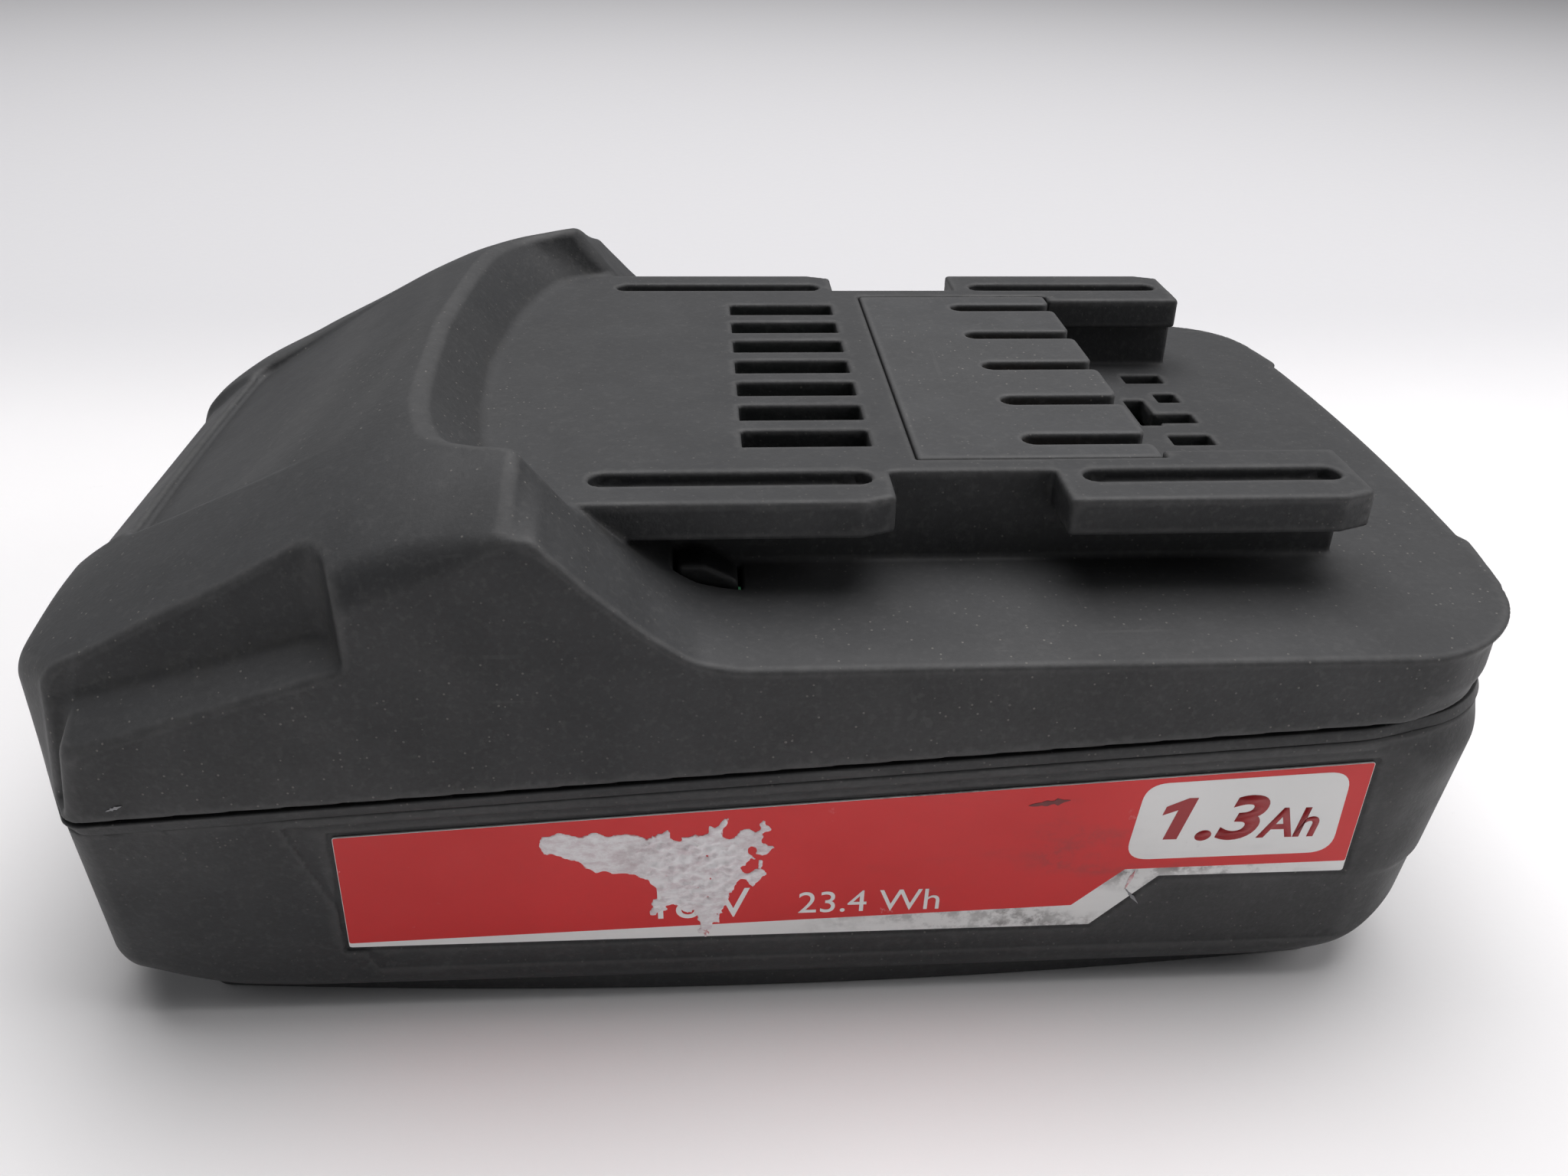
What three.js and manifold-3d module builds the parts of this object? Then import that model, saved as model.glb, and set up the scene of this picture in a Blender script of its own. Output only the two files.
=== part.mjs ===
// An 18 V slide-on battery pack for cordless power tools, with five 18650 cells in one row, in millimetres.
// X runs along the pack from the grip nose at -X to the terminal end at +X, Y runs across it, and Z is up.
// The origin lies on the resting surface, below the middle of the outside box.
import * as THREE from 'three';
import { mergeVertices } from 'three/addons/utils/BufferGeometryUtils.js';
import Module from 'manifold-3d';

const wasm = await Module();
wasm.setup();

// Outside of the two shells. The nose is straight in the middle and slants back to crisp side corners.
// The rear wall bows out in the middle, steps out again at its two ears, and ends in large round corners.
const FRONT_X = -59.5;
const REAR_X = 60;
const HALF_WIDTH = 38.6;
const NOSE = { straightHalf: 29.2, slant: 0.585, corner: 1.2 };
const TAIL = { bowHalf: 20.5, bow: 0.7, stepWidth: 1.5, ear: 0.2, corner: 1.1, cornerRadius: 10.5 };
const WALL = 2.2;
const PARTING_Z = 26.1;
const PARTING_SLOPE = 0.065;
const PARTING_GAP = 0.3;

// Slide-on interface: the deck, the raised block and its two pairs of rails.
const DECK_Z = 36.4;
const BLOCK_TOP_Z = 44.3;
const BLOCK_HALF = 23.7;
const BLOCK_INNER_HALF = 21.5;
const RAIL_HALF = 29.2;
const RAIL_THICKNESS = 3.2;
const FRONT_RAIL = { from: -24, to: 8.9, grooveFrom: -14.8, grooveTo: 7.4 };
const REAR_RAIL = { from: 22.3, to: 46.7, grooveFrom: 24.3, grooveTo: 45.3 };
const GROOVE = { inner: 23.6, outer: 25.9, depth: 1.2 };
const VENT = { count: 7, pitch: 5.66, width: 3.31, from: -2.6, to: 8.1 };
const DECK_HOLE = { count: 7, pitch: 5.6, width: 2.5, from: 40.7, to: 44.9 };
const DECK_POCKET = { from: 38.9, to: 41, innerY: 3.8, outerY: 10.7 };

// Head: the arc wall behind the block, the shoulders and the finger notches.
const SHOULDER_Z = 49.8;
const ARC_HALF = 25;
const NOTCH = {
  endX: -31, topHalf: 33, bottomHalf: 35, ledgeSlope: 0.33, ledgeZ: 36.2, innerRise: 1.3, riseSlope: 0.075,
  endLength: 2.5,
};
const DISH = { frontX: -52.5, backX: -33, frontHalf: 18.8, backHalf: 24, depth: 1.3, bow: 0.8 };
const THUMB_SCOOP_HALF = 18;

// Lower shell: drafted sides, a rounded bottom edge, bevelled ends and a low foot.
const SIDE_DRAFT = 0.1;
const FRONT_DRAFT = 0.06;
const REAR_DRAFT = 0.08;
const BELLY_Z = 1.8;
const BOTTOM_ROUND = 2;
const FLOOR_Z = BELLY_Z + 1.2;
const FOOT = { from: -49, to: 49.4, half: 35.2, bow: 0.0009, top: 3.9, endSlope: 0.4 };
const FRONT_BEVEL = { x: -47, z: 2.4, slope: 0.4 };
const REAR_BEVEL = { x: 47, z: 2.2, slope: 0.66 };
const LIP = { outer: WALL + 0.15, inner: WALL + 1.1, height: 1.5, gapHalf: 17 };
const LABEL = {
  from: -35.1, to: 46.8, below: 3.6, bottomZ: 7.5, stepFrom: 26.5, stepTo: 31.5, stepZ: 13.3,
  thickness: 0.15, recess: 0.35, margin: 0.4,
};

// Cells and what holds them.
const CELL = { radius: 9.15, length: 65, pitch: 19.6, count: 5, middleX: -0.7, z: 12.7 };
const HOLDER = {
  inner: 26.5, outer: 32.2, ledgeInner: 20, bottomZ: 7, ledgeZ: 22.3, topZ: 25.2, clearance: 0.25, wall: 0.8,
};
const STRIP = { thickness: 0.2, halfHeight: 4, gap: 0.1, tabWidth: 4 };
const BOARD = { from: -33, to: 43, half: 24.4, bottomZ: 25.6, thickness: 1.6 };
const BOARD_TOP_Z = BOARD.bottomZ + BOARD.thickness;

// Terminal block and its contacts.
const TERMINAL = {
  from: 11.7, to: 31.9, half: 21.3, pitch: 8.77, slotWidth: 2.1, slotFrom: 21, count: 5,
  flangeReach: 2.5, flangeHeight: 2,
};
const CONTACT = { from: 21.6, to: 29.6, halfGap: 0.55, leaf: 0.6, topZ: 41.4, baseHeight: 1.6 };

// Release latch: the thumb button in the nose, two side arms and two catches in the rail channels.
const LATCH = {
  travel: 3.2, plateX: -56, plateThickness: 1, plateHalf: 15.5, plateBottomZ: 23,
  buttonX: -60.2, buttonHalf: 13, buttonFrom: 27.4, buttonTo: 30.4,
  barBottomZ: 29.2, barTopZ: 32.4, armInner: 24.6, armOuter: 27.6,
  armBottomZ: 30.6, armTopZ: 33.6, armRiseX: -52, armEndX: -2.4, catchFrom: -8, catchTo: -3.2,
  catchTopZ: 38.2, catchFlat: 2,
};
const SPRING = { x: -52, y: 10, coilRadius: 2, wire: 0.6, bottomZ: 8.3, turns: 7, shelf: 2.6 };
const SPRING_TOP_Z = LATCH.plateBottomZ - 0.2;

const SCREW = {
  frontX: -52.3, frontY: 20, rearX: 51.2, rearY: 24, columnRadius: 3.2, bossRadius: 2.5, headRadius: 2.3,
  shankRadius: 1.35, pilotRadius: 1.5, boreRadius: 1.7, frontCeilingZ: 36,
};
const SCREW_SEAT_DEPTH = 12;
const SCREW_BITE = 5;

const CLEARANCE = 0.3;
const FAR = 90;
const DECK_UNDER_Z = DECK_Z - WALL;

const partingZ = (x) => PARTING_Z + PARTING_SLOPE * x;
const mix = (a, b, t) => a + (b - a) * t;

// ---- Solids -------------------------------------------------------------------------------------------

function toSolid(geometry) {
  geometry.deleteAttribute('normal');
  geometry.deleteAttribute('uv');
  const merged = mergeVertices(geometry, 1e-4);
  return new wasm.Manifold(new wasm.Mesh({
    numProp: 3,
    vertProperties: new Float32Array(merged.attributes.position.array),
    triVerts: new Uint32Array(merged.index.array),
  }));
}

function toGeometry(solid) {
  const mesh = solid.getMesh();
  const geometry = new THREE.BufferGeometry();
  geometry.setAttribute('position', new THREE.Float32BufferAttribute(mesh.vertProperties, 3));
  geometry.setIndex(Array.from(mesh.triVerts));
  return geometry;
}

function box(x0, x1, y0, y1, z0, z1) {
  const geometry = new THREE.BoxGeometry(x1 - x0, y1 - y0, z1 - z0);
  geometry.translate((x0 + x1) / 2, (y0 + y1) / 2, (z0 + z1) / 2);
  return toSolid(geometry);
}

// A straight prism over an outline of [x, y] points.
function prismUp(outline, z0, z1) {
  const shape = new THREE.Shape(outline.map(([x, y]) => new THREE.Vector2(x, y)));
  const geometry = new THREE.ExtrudeGeometry(shape, { depth: z1 - z0, bevelEnabled: false });
  geometry.translate(0, 0, z0);
  return toSolid(geometry);
}

// A straight prism across the pack over a side profile of [x, z] points.
function prismAcross(profile, y0, y1) {
  const shape = new THREE.Shape(profile.map(([x, z]) => new THREE.Vector2(x, z)));
  const geometry = new THREE.ExtrudeGeometry(shape, { depth: y1 - y0, bevelEnabled: false });
  geometry.rotateX(Math.PI / 2);
  geometry.translate(0, y1, 0);
  return toSolid(geometry);
}

function cylinderUp(x, y, radius, z0, z1, segments = 24) {
  const geometry = new THREE.CylinderGeometry(radius, radius, z1 - z0, segments);
  geometry.rotateX(Math.PI / 2);
  geometry.translate(x, y, (z0 + z1) / 2);
  return toSolid(geometry);
}

// A closed skin through rings of equally many [x, y, z] points. The function flat drops the axis that the
// rings are stacked on.
function loft(given, flat) {
  const outlineOf = (ring) => ring.map((p) => new THREE.Vector2(...flat(p)));
  const clockwise = THREE.ShapeUtils.area(outlineOf(given[0])) < 0;
  const rings = clockwise ? given.map((ring) => [...ring].reverse()) : given;
  const count = rings[0].length;
  const positions = rings.flat(2);
  const triangles = [];
  for (let r = 0; r + 1 < rings.length; r += 1) {
    for (let i = 0; i < count; i += 1) {
      const a = r * count + i;
      const b = r * count + ((i + 1) % count);
      triangles.push(a, b, b + count, a, b + count, a + count);
    }
  }
  const cap = (ring) => THREE.ShapeUtils.triangulateShape(outlineOf(ring), []);
  const last = (rings.length - 1) * count;
  cap(rings[0]).forEach(([a, b, c]) => triangles.push(a, c, b));
  cap(rings[rings.length - 1]).forEach(([a, b, c]) => triangles.push(last + a, last + b, last + c));
  const build = (order) => new wasm.Manifold(new wasm.Mesh({
    numProp: 3,
    vertProperties: new Float32Array(positions),
    triVerts: new Uint32Array(order),
  }));
  const solid = build(triangles);
  if (solid.volume() > 0) return solid;
  for (let i = 0; i < triangles.length; i += 3) {
    [triangles[i], triangles[i + 1]] = [triangles[i + 1], triangles[i]];
  }
  return build(triangles);
}

const alongX = ([, y, z]) => [y, z];
const alongY = ([x, , z]) => [x, z];
const alongZ = ([x, y]) => [x, y];

function join(solids) {
  return solids.reduce((whole, next) => whole.add(next));
}

function bothSides(make) {
  return join([make(-1), make(1)]);
}

function arcPoints(cx, cy, radius, from, to, steps) {
  return Array.from({ length: steps + 1 }, (_, i) => {
    const angle = mix(from, to, i / steps);
    return [cx + radius * Math.cos(angle), cy + radius * Math.sin(angle)];
  });
}

// ---- Shell outline ------------------------------------------------------------------------------------

// Plan of the pack, counter-clockwise from the rear of the -Y side, with every wall moved inwards by inset.
function planOutline(inset, frontX = FRONT_X + inset, rearX = REAR_X - inset, half = HALF_WIDTH - inset) {
  const radius = TAIL.cornerRadius - inset;
  const cornerX = rearX - TAIL.corner - radius;
  const cornerY = half - radius;
  const earX = rearX - TAIL.ear;
  const earY = TAIL.bowHalf + TAIL.stepWidth;
  const quarter = Math.PI / 2;
  const bowSteps = 6;
  const rear = Array.from({ length: bowSteps + 1 }, (_, i) => {
    const y = mix(-TAIL.bowHalf, TAIL.bowHalf, i / bowSteps);
    return [rearX - TAIL.bow * (y / TAIL.bowHalf) ** 2, y];
  });
  const noseX = (y) => frontX + NOSE.slant * Math.max(Math.abs(y) - NOSE.straightHalf, 0);
  const front = [half - NOSE.corner, NOSE.straightHalf, -NOSE.straightHalf, NOSE.corner - half]
    .map((y) => [noseX(y), y]);
  return [
    ...arcPoints(cornerX, -cornerY, radius, -quarter, 0, 6),
    [earX, -earY],
    ...rear,
    [earX, earY],
    ...arcPoints(cornerX, cornerY, radius, 0, quarter, 6),
    [noseX(half) + NOSE.corner, half],
    ...front,
    [noseX(half) + NOSE.corner, -half],
  ];
}

const atHeight = (outline, z) => outline.map(([x, y]) => [x, y, z]);

// Everything under (or over) the slanted parting line, moved up by rise.
function underParting(rise) {
  return prismAcross(
    [[-FAR, -FAR], [FAR, -FAR], [FAR, partingZ(FAR) + rise], [-FAR, partingZ(-FAR) + rise]], -FAR, FAR);
}

// ---- Upper shell --------------------------------------------------------------------------------------

// Top of the shell along X: [x, height at the middle, fall towards the sides].
const TOP_STATIONS = [
  [-61, 30.6, 0.3], [-59, 33, 0.3], [-57.5, 34.8, 0.35], [-47.8, 40, 0.5], [-40, 44.1, 0.75],
  [-34, 47.2, 1], [-29, 49.2, 1], [-24, 50.5, 1], [-19.2, 50.8, 0.85], [-17.2, 46.4, 0.3],
  [-14.6, 43, 0.2], [-12, 40.6, 0.2], [-9, 38.3, 0.2], [-6, 36.9, 0.2], [-2.5, 36.4, 0.2], [62, 36.4, 0.2],
];
const CROWN = [[0, 0], [20, 0.2], [27, 0.8], [32, 1.9], [35.4, 3.4], [38.7, 5.5], [42, 8]];

function crownedBody(lower) {
  const bottom = PARTING_Z - 12;
  const rings = TOP_STATIONS.map(([x, top, fall]) => {
    const right = CROWN.map(([y, drop]) => [x, y, top - drop * fall - lower]);
    const left = right.slice(1).reverse().map(([, y, z]) => [x, -y, z]);
    return [...left, ...right, [x, FAR / 2, bottom], [x, -FAR / 2, bottom]];
  });
  return loft(rings, alongX);
}

// Space over the block, in front of the slanted arc wall and between the shoulders. At t 0 it is the plan
// at the block's top, and at t 1 the plan at the shoulders' height.
function recessRing(t) {
  const ring = [];
  for (let i = 0; i <= 10; i += 1) {
    const y = mix(-ARC_HALF, ARC_HALF, i / 10);
    const sag = 1 - (y / ARC_HALF) ** 2;
    ring.push([mix(-25.1, -27.3, t) - mix(1.3, 3.1, t) * sag, y]);
  }
  const shoulder = [
    [mix(-23.6, -25.7, t), mix(28.6, 29.3, t)],
    [mix(-19.6, -21.4, t), mix(30.9, 31.7, t)],
    [mix(-17.4, -19.2, t), mix(33.7, 35.4, t)],
    [mix(-17.2, -19, t), FAR / 2],
    [FAR, FAR / 2],
  ];
  const mirrored = shoulder.map(([x, y]) => [x, -y]).reverse();
  return [...mirrored, ...ring, ...shoulder];
}

function headRecess() {
  const reach = 1.5;
  return loft([
    atHeight(recessRing(0), BLOCK_TOP_Z),
    atHeight(recessRing(reach), mix(BLOCK_TOP_Z, SHOULDER_Z, reach)),
  ], alongZ);
}

function railPair(rail) {
  return bothSides((side) => prismUp([
    [rail.from, side * (BLOCK_INNER_HALF + 0.5)],
    [rail.to, side * (BLOCK_INNER_HALF + 0.5)],
    [rail.to, side * (RAIL_HALF - 1)],
    [rail.to - 2.6, side * RAIL_HALF],
    [rail.from, side * RAIL_HALF],
  ], BLOCK_TOP_Z - RAIL_THICKNESS, BLOCK_TOP_Z));
}

function railGrooves(rail) {
  const radius = (GROOVE.outer - GROOVE.inner) / 2;
  const middle = (GROOVE.outer + GROOVE.inner) / 2;
  return bothSides((side) => prismUp([
    ...arcPoints(rail.grooveTo - radius, side * middle, radius, -Math.PI / 2, Math.PI / 2, 6),
    ...arcPoints(rail.grooveFrom + radius, side * middle, radius, Math.PI / 2, 1.5 * Math.PI, 6),
  ], BLOCK_TOP_Z - GROOVE.depth, BLOCK_TOP_Z + 1));
}

// One finger notch: a slanted inset face over a ledge that falls towards the nose and outwards.
function fingerNotch(side) {
  const ring = (x) => {
    const ledge = NOTCH.ledgeZ + NOTCH.ledgeSlope * (x - NOTCH.endX);
    const rise = NOTCH.innerRise + NOTCH.riseSlope * (NOTCH.endX - x);
    const inset = Math.min(1, (NOTCH.endX - x) / NOTCH.endLength);
    const topHalf = mix(HALF_WIDTH + 1.5, NOTCH.topHalf, inset);
    const bottomHalf = mix(HALF_WIDTH + 1.2, NOTCH.bottomHalf, inset);
    return [
      [x, side * topHalf, BLOCK_TOP_Z + 6],
      [x, side * bottomHalf, ledge + rise],
      [x, side * (HALF_WIDTH + 0.4), ledge],
      [x, side * FAR / 2, ledge - 3],
      [x, side * FAR / 2, BLOCK_TOP_Z + 6],
    ];
  };
  return loft([-64, -50, NOTCH.endX - NOTCH.endLength, NOTCH.endX].map(ring), alongX);
}

// Shallow dish in the top of the head. Its floor meets the top near the crest.
function dish() {
  const topAt = (x) => 40 + (x + 47.8) * 0.526;
  const corners = (lift) => [
    [DISH.frontX, -DISH.frontHalf, topAt(DISH.frontX) - DISH.depth + lift],
    [DISH.backX, -DISH.backHalf, topAt(DISH.backX) + lift],
    [DISH.backX, DISH.backHalf, topAt(DISH.backX) + lift],
    [DISH.frontX, DISH.frontHalf, topAt(DISH.frontX) - DISH.depth + lift],
    [DISH.frontX - DISH.bow, 0, topAt(DISH.frontX) - DISH.depth - 0.3 + lift],
  ];
  return loft([corners(0), corners(8)], alongZ);
}

// Where the thumb rolls over the nose on to the release button, the nose's top edge is lower.
function thumbScoop() {
  return prismAcross(
    [[-64, 29.6], [-61, 29.6], [-57.5, 33.8], [-52, 37.7], [-52, 45], [-64, 45]],
    -THUMB_SCOOP_HALF, THUMB_SCOOP_HALF);
}

function upperInside() {
  const walls = prismUp(planOutline(WALL), 0, FAR);
  const underTop = crownedBody(WALL).subtract(box(-62, -57.2, -FAR, FAR, 0, FAR));
  const head = loft([
    atHeight(planOutline(WALL), PARTING_Z - 12),
    atHeight(planOutline(WALL), BLOCK_TOP_Z - WALL),
  ], alongZ);
  const blockRoom = box(-30, TERMINAL.from - 3, -BLOCK_INNER_HALF, BLOCK_INNER_HALF, 0, BLOCK_TOP_Z - WALL);
  const notchBacks = bothSides((side) => {
    const wallY = side * (NOTCH.topHalf - WALL);
    const [y0, y1] = [Math.min(wallY, side * FAR), Math.max(wallY, side * FAR)];
    return box(-64, NOTCH.endX + WALL, y0, y1, 26, FAR);
  });
  const underDeck = underTop.intersect(walls).intersect(head).subtract(notchBacks);
  return underDeck.add(blockRoom);
}

function upperShell() {
  const outside = crownedBody(0)
    .intersect(prismUp(planOutline(0), 0, FAR))
    .subtract(headRecess())
    .subtract(bothSides(fingerNotch))
    .subtract(dish())
    .subtract(thumbScoop());
  const block = box(-26, TERMINAL.to + 0.3, -BLOCK_HALF, BLOCK_HALF, DECK_UNDER_Z, BLOCK_TOP_Z);
  const webs = bothSides((side) => {
    const [y0, y1] = [side * BLOCK_INNER_HALF, side * BLOCK_HALF].sort((a, b) => a - b);
    return box(TERMINAL.from, REAR_RAIL.to, y0, y1, DECK_UNDER_Z, BLOCK_TOP_Z);
  });
  const rails = railPair(FRONT_RAIL).add(railPair(REAR_RAIL));
  let shell = join([outside, block, webs, rails]).subtract(upperInside());
  shell = shell.subtract(box(
    TERMINAL.from - CLEARANCE, TERMINAL.to + CLEARANCE,
    -BLOCK_INNER_HALF, BLOCK_INNER_HALF, 0, FAR));
  shell = shell.subtract(railGrooves(FRONT_RAIL)).subtract(railGrooves(REAR_RAIL));
  shell = shell.subtract(slotRow(VENT, BLOCK_TOP_Z - 5, BLOCK_TOP_Z + 1));
  shell = shell.subtract(slotRow(DECK_HOLE, DECK_UNDER_Z - 1, DECK_Z + 1)).subtract(deckPocket());
  shell = shell.add(screwBosses()).subtract(underParting(PARTING_GAP / 2));
  return shell.subtract(screwPilots()).subtract(latchWindows());
}

// An odd hole in front of two of the deck's drain slots.
function deckPocket() {
  return box(
    DECK_POCKET.from, DECK_POCKET.to, DECK_POCKET.innerY, DECK_POCKET.outerY, DECK_UNDER_Z - 1, DECK_Z + 1);
}

function slotRow(row, z0, z1) {
  return join(Array.from({ length: row.count }, (_, i) => {
    const y = (i - (row.count - 1) / 2) * row.pitch;
    return box(row.from, row.to, y - row.width / 2, y + row.width / 2, z0, z1);
  }));
}

const SCREW_PLACES = [
  ['shell_screw_front_left', SCREW.frontX, SCREW.frontY],
  ['shell_screw_front_right', SCREW.frontX, -SCREW.frontY],
  ['shell_screw_rear_left', SCREW.rearX, SCREW.rearY],
  ['shell_screw_rear_right', SCREW.rearX, -SCREW.rearY],
];

function screwBosses() {
  return join(SCREW_PLACES.map(([, x, y]) => {
    const ceiling = x < 0 ? SCREW.frontCeilingZ : DECK_UNDER_Z + 0.5;
    return cylinderUp(x, y, SCREW.bossRadius, partingZ(x) - 2, ceiling);
  }));
}

function screwPilots() {
  return join(SCREW_PLACES.map(([, x, y]) => (
    cylinderUp(x, y, SCREW.pilotRadius, 0, partingZ(x) + SCREW_BITE + 0.8))));
}

function latchWindows() {
  const window = box(
    -FAR, LATCH.plateX - 0.2, -LATCH.buttonHalf - CLEARANCE, LATCH.buttonHalf + CLEARANCE,
    LATCH.buttonFrom - LATCH.travel - CLEARANCE, LATCH.buttonTo + CLEARANCE);
  const catches = bothSides((side) => {
    const edges = [side * (LATCH.armInner - CLEARANCE), side * (LATCH.armOuter + CLEARANCE)];
    const [y0, y1] = edges.sort((a, b) => a - b);
    const under = BLOCK_TOP_Z - RAIL_THICKNESS - 0.2;
    return box(LATCH.catchFrom - CLEARANCE, LATCH.catchTo + CLEARANCE, y0, y1, DECK_UNDER_Z - 1, under);
  });
  return window.add(catches);
}

// ---- Lower shell --------------------------------------------------------------------------------------

// Plan of the drafted lower shell at a height, moved inwards by inset.
function lowerOutline(z, inset) {
  const depth = PARTING_Z - z;
  return planOutline(
    inset, FRONT_X + inset + FRONT_DRAFT * depth, REAR_X - inset - REAR_DRAFT * depth,
    HALF_WIDTH - inset - SIDE_DRAFT * depth);
}

function sideWallY(z) {
  return HALF_WIDTH - SIDE_DRAFT * (PARTING_Z - z);
}

// A flat sheet that follows the drafted side wall, between two distances outside it.
function sideSheet(side, outline, from, to) {
  const ring = (out) => outline.map(([x, z]) => [x, side * (sideWallY(z) + out), z]);
  return loft([ring(from), ring(to)], alongY);
}

function labelOutline(margin) {
  return [
    [LABEL.from - margin, LABEL.bottomZ - margin],
    [LABEL.stepFrom + margin, LABEL.bottomZ - margin],
    [LABEL.stepTo + margin, LABEL.stepZ - margin],
    [LABEL.to + margin, LABEL.stepZ - margin],
    [LABEL.to + margin, partingZ(LABEL.to) - LABEL.below + margin],
    [LABEL.from - margin, partingZ(LABEL.from) - LABEL.below + margin],
  ];
}

// The bevels under both ends, raised by rise.
function endBevels(rise) {
  return join([FRONT_BEVEL, REAR_BEVEL].map(({ x, z, slope }) => {
    const end = Math.sign(x) * FAR;
    const endZ = z + slope * (FAR - Math.abs(x));
    return prismAcross([[x, -FAR], [x, z + rise], [end, endZ + rise], [end, -FAR]], -FAR, FAR);
  }));
}

// The flat that the pack stands on, with bowed sides and bevelled ends.
function foot() {
  const sideSteps = 8;
  const corner = 2;
  const outline = (grow) => {
    const side = Array.from({ length: sideSteps + 1 }, (_, i) => {
      const x = mix(FOOT.from + corner, FOOT.to - corner, i / sideSteps);
      return [x, -(FOOT.half - FOOT.bow * x * x + grow * SIDE_DRAFT)];
    });
    const endY = (x) => FOOT.half - FOOT.bow * x * x - corner;
    const front = [FOOT.from - grow * FOOT.endSlope, -endY(FOOT.from)];
    const rear = [FOOT.to + grow * FOOT.endSlope, -endY(FOOT.to)];
    const half = [front, ...side, rear];
    return [...half, ...half.map(([x, y]) => [x, -y]).reverse()];
  };
  return loft([atHeight(outline(0), 0), atHeight(outline(FOOT.top), FOOT.top)], alongZ);
}

function lowerShell() {
  const rounding = [0, 0.3, 0.6, 1].map((t) => {
    const angle = t * Math.PI / 2;
    const z = BELLY_Z + BOTTOM_ROUND * (1 - Math.cos(angle));
    return atHeight(lowerOutline(z, BOTTOM_ROUND * (1 - Math.sin(angle))), z);
  });
  const outside = loft([...rounding, atHeight(lowerOutline(PARTING_Z + 8, 0), PARTING_Z + 8)], alongZ)
    .subtract(endBevels(0))
    .add(foot());
  const inside = loft([
    atHeight(lowerOutline(FLOOR_Z, WALL + 0.6), FLOOR_Z),
    atHeight(lowerOutline(FLOOR_Z + 1, WALL), FLOOR_Z + 1),
    atHeight(lowerOutline(PARTING_Z + 9, WALL), PARTING_Z + 9),
  ], alongZ).subtract(endBevels(WALL));
  const columns = join(SCREW_PLACES.map(([, x, y]) => (
    cylinderUp(x, y, SCREW.columnRadius, BELLY_Z, partingZ(x) + 3))));
  const seats = bothSides((side) => (
    cylinderUp(SPRING.x, side * SPRING.y, 2.4, BELLY_Z, SPRING.bottomZ - 0.2, 16)));
  const headBores = join(SCREW_PLACES.map(([, x, y]) => {
    const seat = partingZ(x) - SCREW_SEAT_DEPTH;
    const counterbore = cylinderUp(x, y, SCREW.headRadius + CLEARANCE, -1, seat);
    return counterbore.add(cylinderUp(x, y, SCREW.boreRadius, -1, FAR));
  }));
  const lip = loft([
    atHeight(planOutline(LIP.outer), PARTING_Z - 8), atHeight(planOutline(LIP.outer), PARTING_Z + 8),
  ], alongZ)
    .subtract(prismUp(planOutline(LIP.inner), 0, FAR))
    .subtract(box(-FAR, FRONT_X + 10, -LIP.gapHalf, LIP.gapHalf, 0, FAR))
    .intersect(underParting(LIP.height))
    .subtract(underParting(-2 * LIP.height));
  const recesses = bothSides((side) => sideSheet(side, labelOutline(LABEL.margin), -LABEL.recess, 2));
  return join([outside.subtract(inside), columns.intersect(outside), seats.intersect(outside)])
    .intersect(underParting(-PARTING_GAP / 2))
    .add(lip)
    .subtract(headBores)
    .subtract(recesses);
}

function label(side) {
  return sideSheet(side, labelOutline(0), -LABEL.recess + 0.03, -LABEL.recess + 0.03 + LABEL.thickness);
}

// ---- Inside -------------------------------------------------------------------------------------------

const cellX = (i) => CELL.middleX + (i - (CELL.count - 1) / 2) * CELL.pitch;

// One cell along Y, from its flat negative end to the small positive cap. up is the side of the cap.
function cell(i) {
  const up = i % 2 === 0 ? 1 : -1;
  const half = CELL.length / 2;
  const profile = [
    [0, -half], [CELL.radius - 0.6, -half], [CELL.radius, -half + 0.6], [CELL.radius, half - 5],
    [CELL.radius - 0.5, half - 4.4], [CELL.radius, half - 3.8], [CELL.radius, half - 1],
    [CELL.radius - 1, half - 0.4], [4, half - 0.4], [3.4, half], [0, half],
  ];
  const geometry = new THREE.LatheGeometry(profile.map(([r, y]) => new THREE.Vector2(r, y)), 32);
  if (up < 0) geometry.rotateX(Math.PI);
  geometry.translate(cellX(i), 0, CELL.z);
  return toSolid(geometry);
}

// A comb that holds the cells near one end, with a ledge on top for the circuit board.
function cellHolder(side) {
  const span = (from, to) => [side * from, side * to].sort((a, b) => a - b);
  const reach = CELL.radius + HOLDER.clearance + HOLDER.wall;
  const ends = [cellX(0) - reach, cellX(CELL.count - 1) + reach];
  const [p0, p1] = span(HOLDER.inner, HOLDER.outer);
  const [l0, l1] = span(HOLDER.ledgeInner, HOLDER.outer);
  const plate = box(ends[0], ends[1], p0, p1, HOLDER.bottomZ, HOLDER.topZ);
  const ledge = box(BOARD.from, BOARD.to, l0, l1, HOLDER.ledgeZ, HOLDER.topZ);
  const bores = join(Array.from({ length: CELL.count }, (_, i) => {
    const geometry = new THREE.CylinderGeometry(
      CELL.radius + HOLDER.clearance, CELL.radius + HOLDER.clearance, FAR, 32);
    geometry.translate(cellX(i), 0, CELL.z);
    return toSolid(geometry);
  }));
  return plate.add(ledge).subtract(bores);
}

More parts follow.
